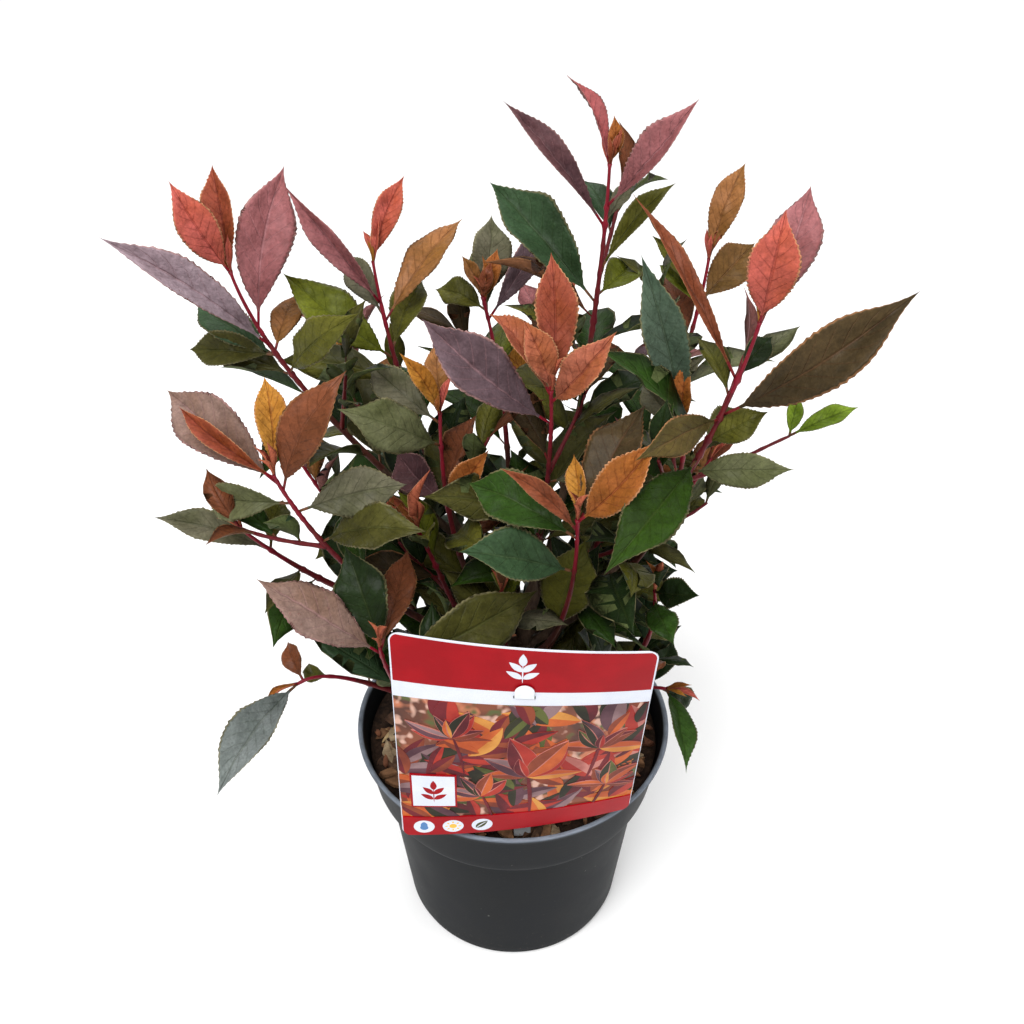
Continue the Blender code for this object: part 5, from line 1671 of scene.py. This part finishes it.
stake = {
    "width": 0.0094, "thick": 0.0008, "foot": (*bed["byStake"][:2], 0.132), "depth": 0.025,
    "runUp": 0.004, "pass": 0.0007, "tab": 0.0105, "off": 0.0013,
    "straight": (24, 0.004), "bent": (90, 0.0035), "smoothings": 3, "sides": 20,
    "powers": (0.35, 0.6), "tabEnd": 0.995,
}


# cross-sections (a |cos turn|^p, b |sin turn|^q), each with its own sign, along a smoothed path;
# the tab ends in a half round
def makeStake():
    x = (card["slitAcross"] - 0.5) * card["size"][0]
    slit = card["slitHigh"] * card["size"][1]

    def onCard(z, off):
        place = np.array((x,)), np.array((z,))
        return (cardPoints(*place) + cardOutward(*place) * off)[0]

    behind = onCard(slit - stake["runUp"], -stake["off"])
    foot = np.array(stake["foot"])
    rise = unit(behind - foot)
    stops = [foot - rise * stake["depth"], behind]
    stops += [onCard(slit + z, off) for z, off in (
        (-stake["pass"], -stake["off"]), (stake["pass"], stake["off"]),
        (4 * stake["pass"], stake["off"]), (stake["tab"], stake["off"]))]
    reach = np.concatenate([[0], np.cumsum(np.linalg.norm(np.diff(stops, axis=0), axis=1))])
    (few, early), (many, late) = stake["straight"], stake["bent"]
    along = np.concatenate([np.linspace(0, reach[1] - early, few),
                            np.linspace(reach[1] - late, reach[-1], many)])
    path = np.stack([np.interp(along, reach, np.array(stops)[:, k]) for k in range(3)], -1)
    for _ in range(stake["smoothings"]):
        path[1:-1] = (path[:-2] + path[1:-1] * 2 + path[2:]) / 4
    ahead = unit(np.gradient(path, axis=0))
    across = unit(cardAcross(np.array((x,)), np.array((slit,))))
    across = unit(across - ahead * (across * ahead).sum(-1, keepdims=True))
    out = np.cross(across, ahead)
    wide = stake["width"] / 2
    near = np.clip((along - reach[-1] + wide) / wide, 0, stake["tabEnd"])
    half = wide * np.sqrt(1 - near**2)
    turn = turns(stake["sides"])
    cx, cy = (np.sign(wave) * np.abs(wave)**power
              for wave, power in zip((np.cos(turn), np.sin(turn)), stake["powers"]))
    verts = path[:, None] + across[:, None] * (half[:, None] * cx)[..., None] + (
        out[:, None] * (stake["thick"] / 2 * cy)[None, :, None])
    rows, sides = len(path), stake["sides"]
    verts = np.concatenate([verts.reshape(-1, 3), path[[0, -1]]])
    # turning from across to out goes anticlockwise seen from below, so the faces are turned over
    faces = [gridFaces(rows, sides, ring=True)[:, ::-1], capFaces(rows, sides)[:, ::-1]]
    makePiece("label_stake", verts, faces, [stakeFinish()], node="label_strip")


def stakeFinish():  # milky plastic
    mat, tree, shader = newFinish("stake_clear", paint(226, 230, 234), 0.3)
    shader.inputs["Subsurface Weight"].default_value = 0.3
    shader.inputs["Subsurface Radius"].default_value = (0.004, 0.004, 0.004)
    place = objectPlace(tree)
    cloud = noise(tree, place, 180.0, 3.0)
    body = mixed(tree, ranged(tree, cloud, 0.4, 0.6), paint(222, 227, 232), paint(234, 237, 240))
    finished(tree, shader, body, noise(tree, objectPlace(tree, (1, 1, 0.1)), 900.0), 0.2, 0.0002)
    return mat


makeStake()
print("stake made")

# Studio: a pale floor, soft light and the photograph's view

studio = {
    "camera": (-0.0007, -0.478, 0.642), "pitch": 54.4, "lens": 38.67, "sensor": 36,
    "world": 0.46, "floor": 12.0, "cells": 8, "below": 0.0002, "aim": (0, 0, 0.25),
    "sun": (2.1, 30, -24, 40),  # strength, tilt, turn, softness
    "lights": (  # place, size, watts
        ((-0.5, -0.9, 1.5), 1.0, 7.0), ((0.9, -0.3, 1.2), 0.8, 4.0), ((0.0, 0.9, 1.3), 1.0, 5.0),
    ),
}


def floorFinish():
    mat, tree, shader = newFinish("floor_pale", paint(253, 253, 253), 0.9, 0.2)
    cloud = noise(tree, objectPlace(tree), 3.0, 2.0)
    body = mixed(tree, ranged(tree, cloud, 0.3, 0.7), paint(252, 252, 252), paint(254, 254, 254))
    tree.links.new(body, shader.inputs["Base Color"])
    return mat


def makeFloor():
    line = np.linspace(-1, 1, studio["cells"] + 1) * studio["floor"] / 2
    x, y = np.meshgrid(line, line)
    verts = np.stack([x, y, x * 0 - studio["below"]], -1).reshape(-1, 3)
    mesh = bpy.data.meshes.new("floor")
    mesh.from_pydata(verts.tolist(), [], gridFaces(*x.shape).tolist())
    mesh.materials.append(floorFinish())
    addObject("floor", mesh)


def makeLights():
    world = bpy.data.worlds.new("studio")
    world.use_nodes = True
    sky = world.node_tree.nodes["Background"]
    sky.inputs["Color"].default_value = (1, 1, 1, 1)
    sky.inputs["Strength"].default_value = studio["world"]
    scene.world = world
    for k, (place, size, watts) in enumerate(studio["lights"]):
        lamp = bpy.data.lights.new("softbox_%d" % (k + 1), "AREA")
        lamp.shape, lamp.size, lamp.energy = "DISK", size, watts
        holder = addObject(lamp.name, lamp)
        holder.location = place
        way = Vector(studio["aim"]) - Vector(place)
        holder.rotation_euler = way.to_track_quat("-Z", "Y").to_euler()
    strength, tilt, turn, soft = studio["sun"]
    sun = bpy.data.lights.new("daylight", "SUN")
    sun.energy, sun.angle = strength, math.radians(soft)
    addObject("daylight", sun).rotation_euler = (math.radians(tilt), 0, math.radians(turn))


def makeCamera():
    view = bpy.data.cameras.new("view")
    view.lens, view.sensor_width = studio["lens"], studio["sensor"]
    camera = addObject("view", view)
    camera.location = studio["camera"]
    camera.rotation_euler = (math.radians(studio["pitch"]), 0, 0)
    scene.camera = camera


makeFloor()
makeLights()
makeCamera()
print("scene done")
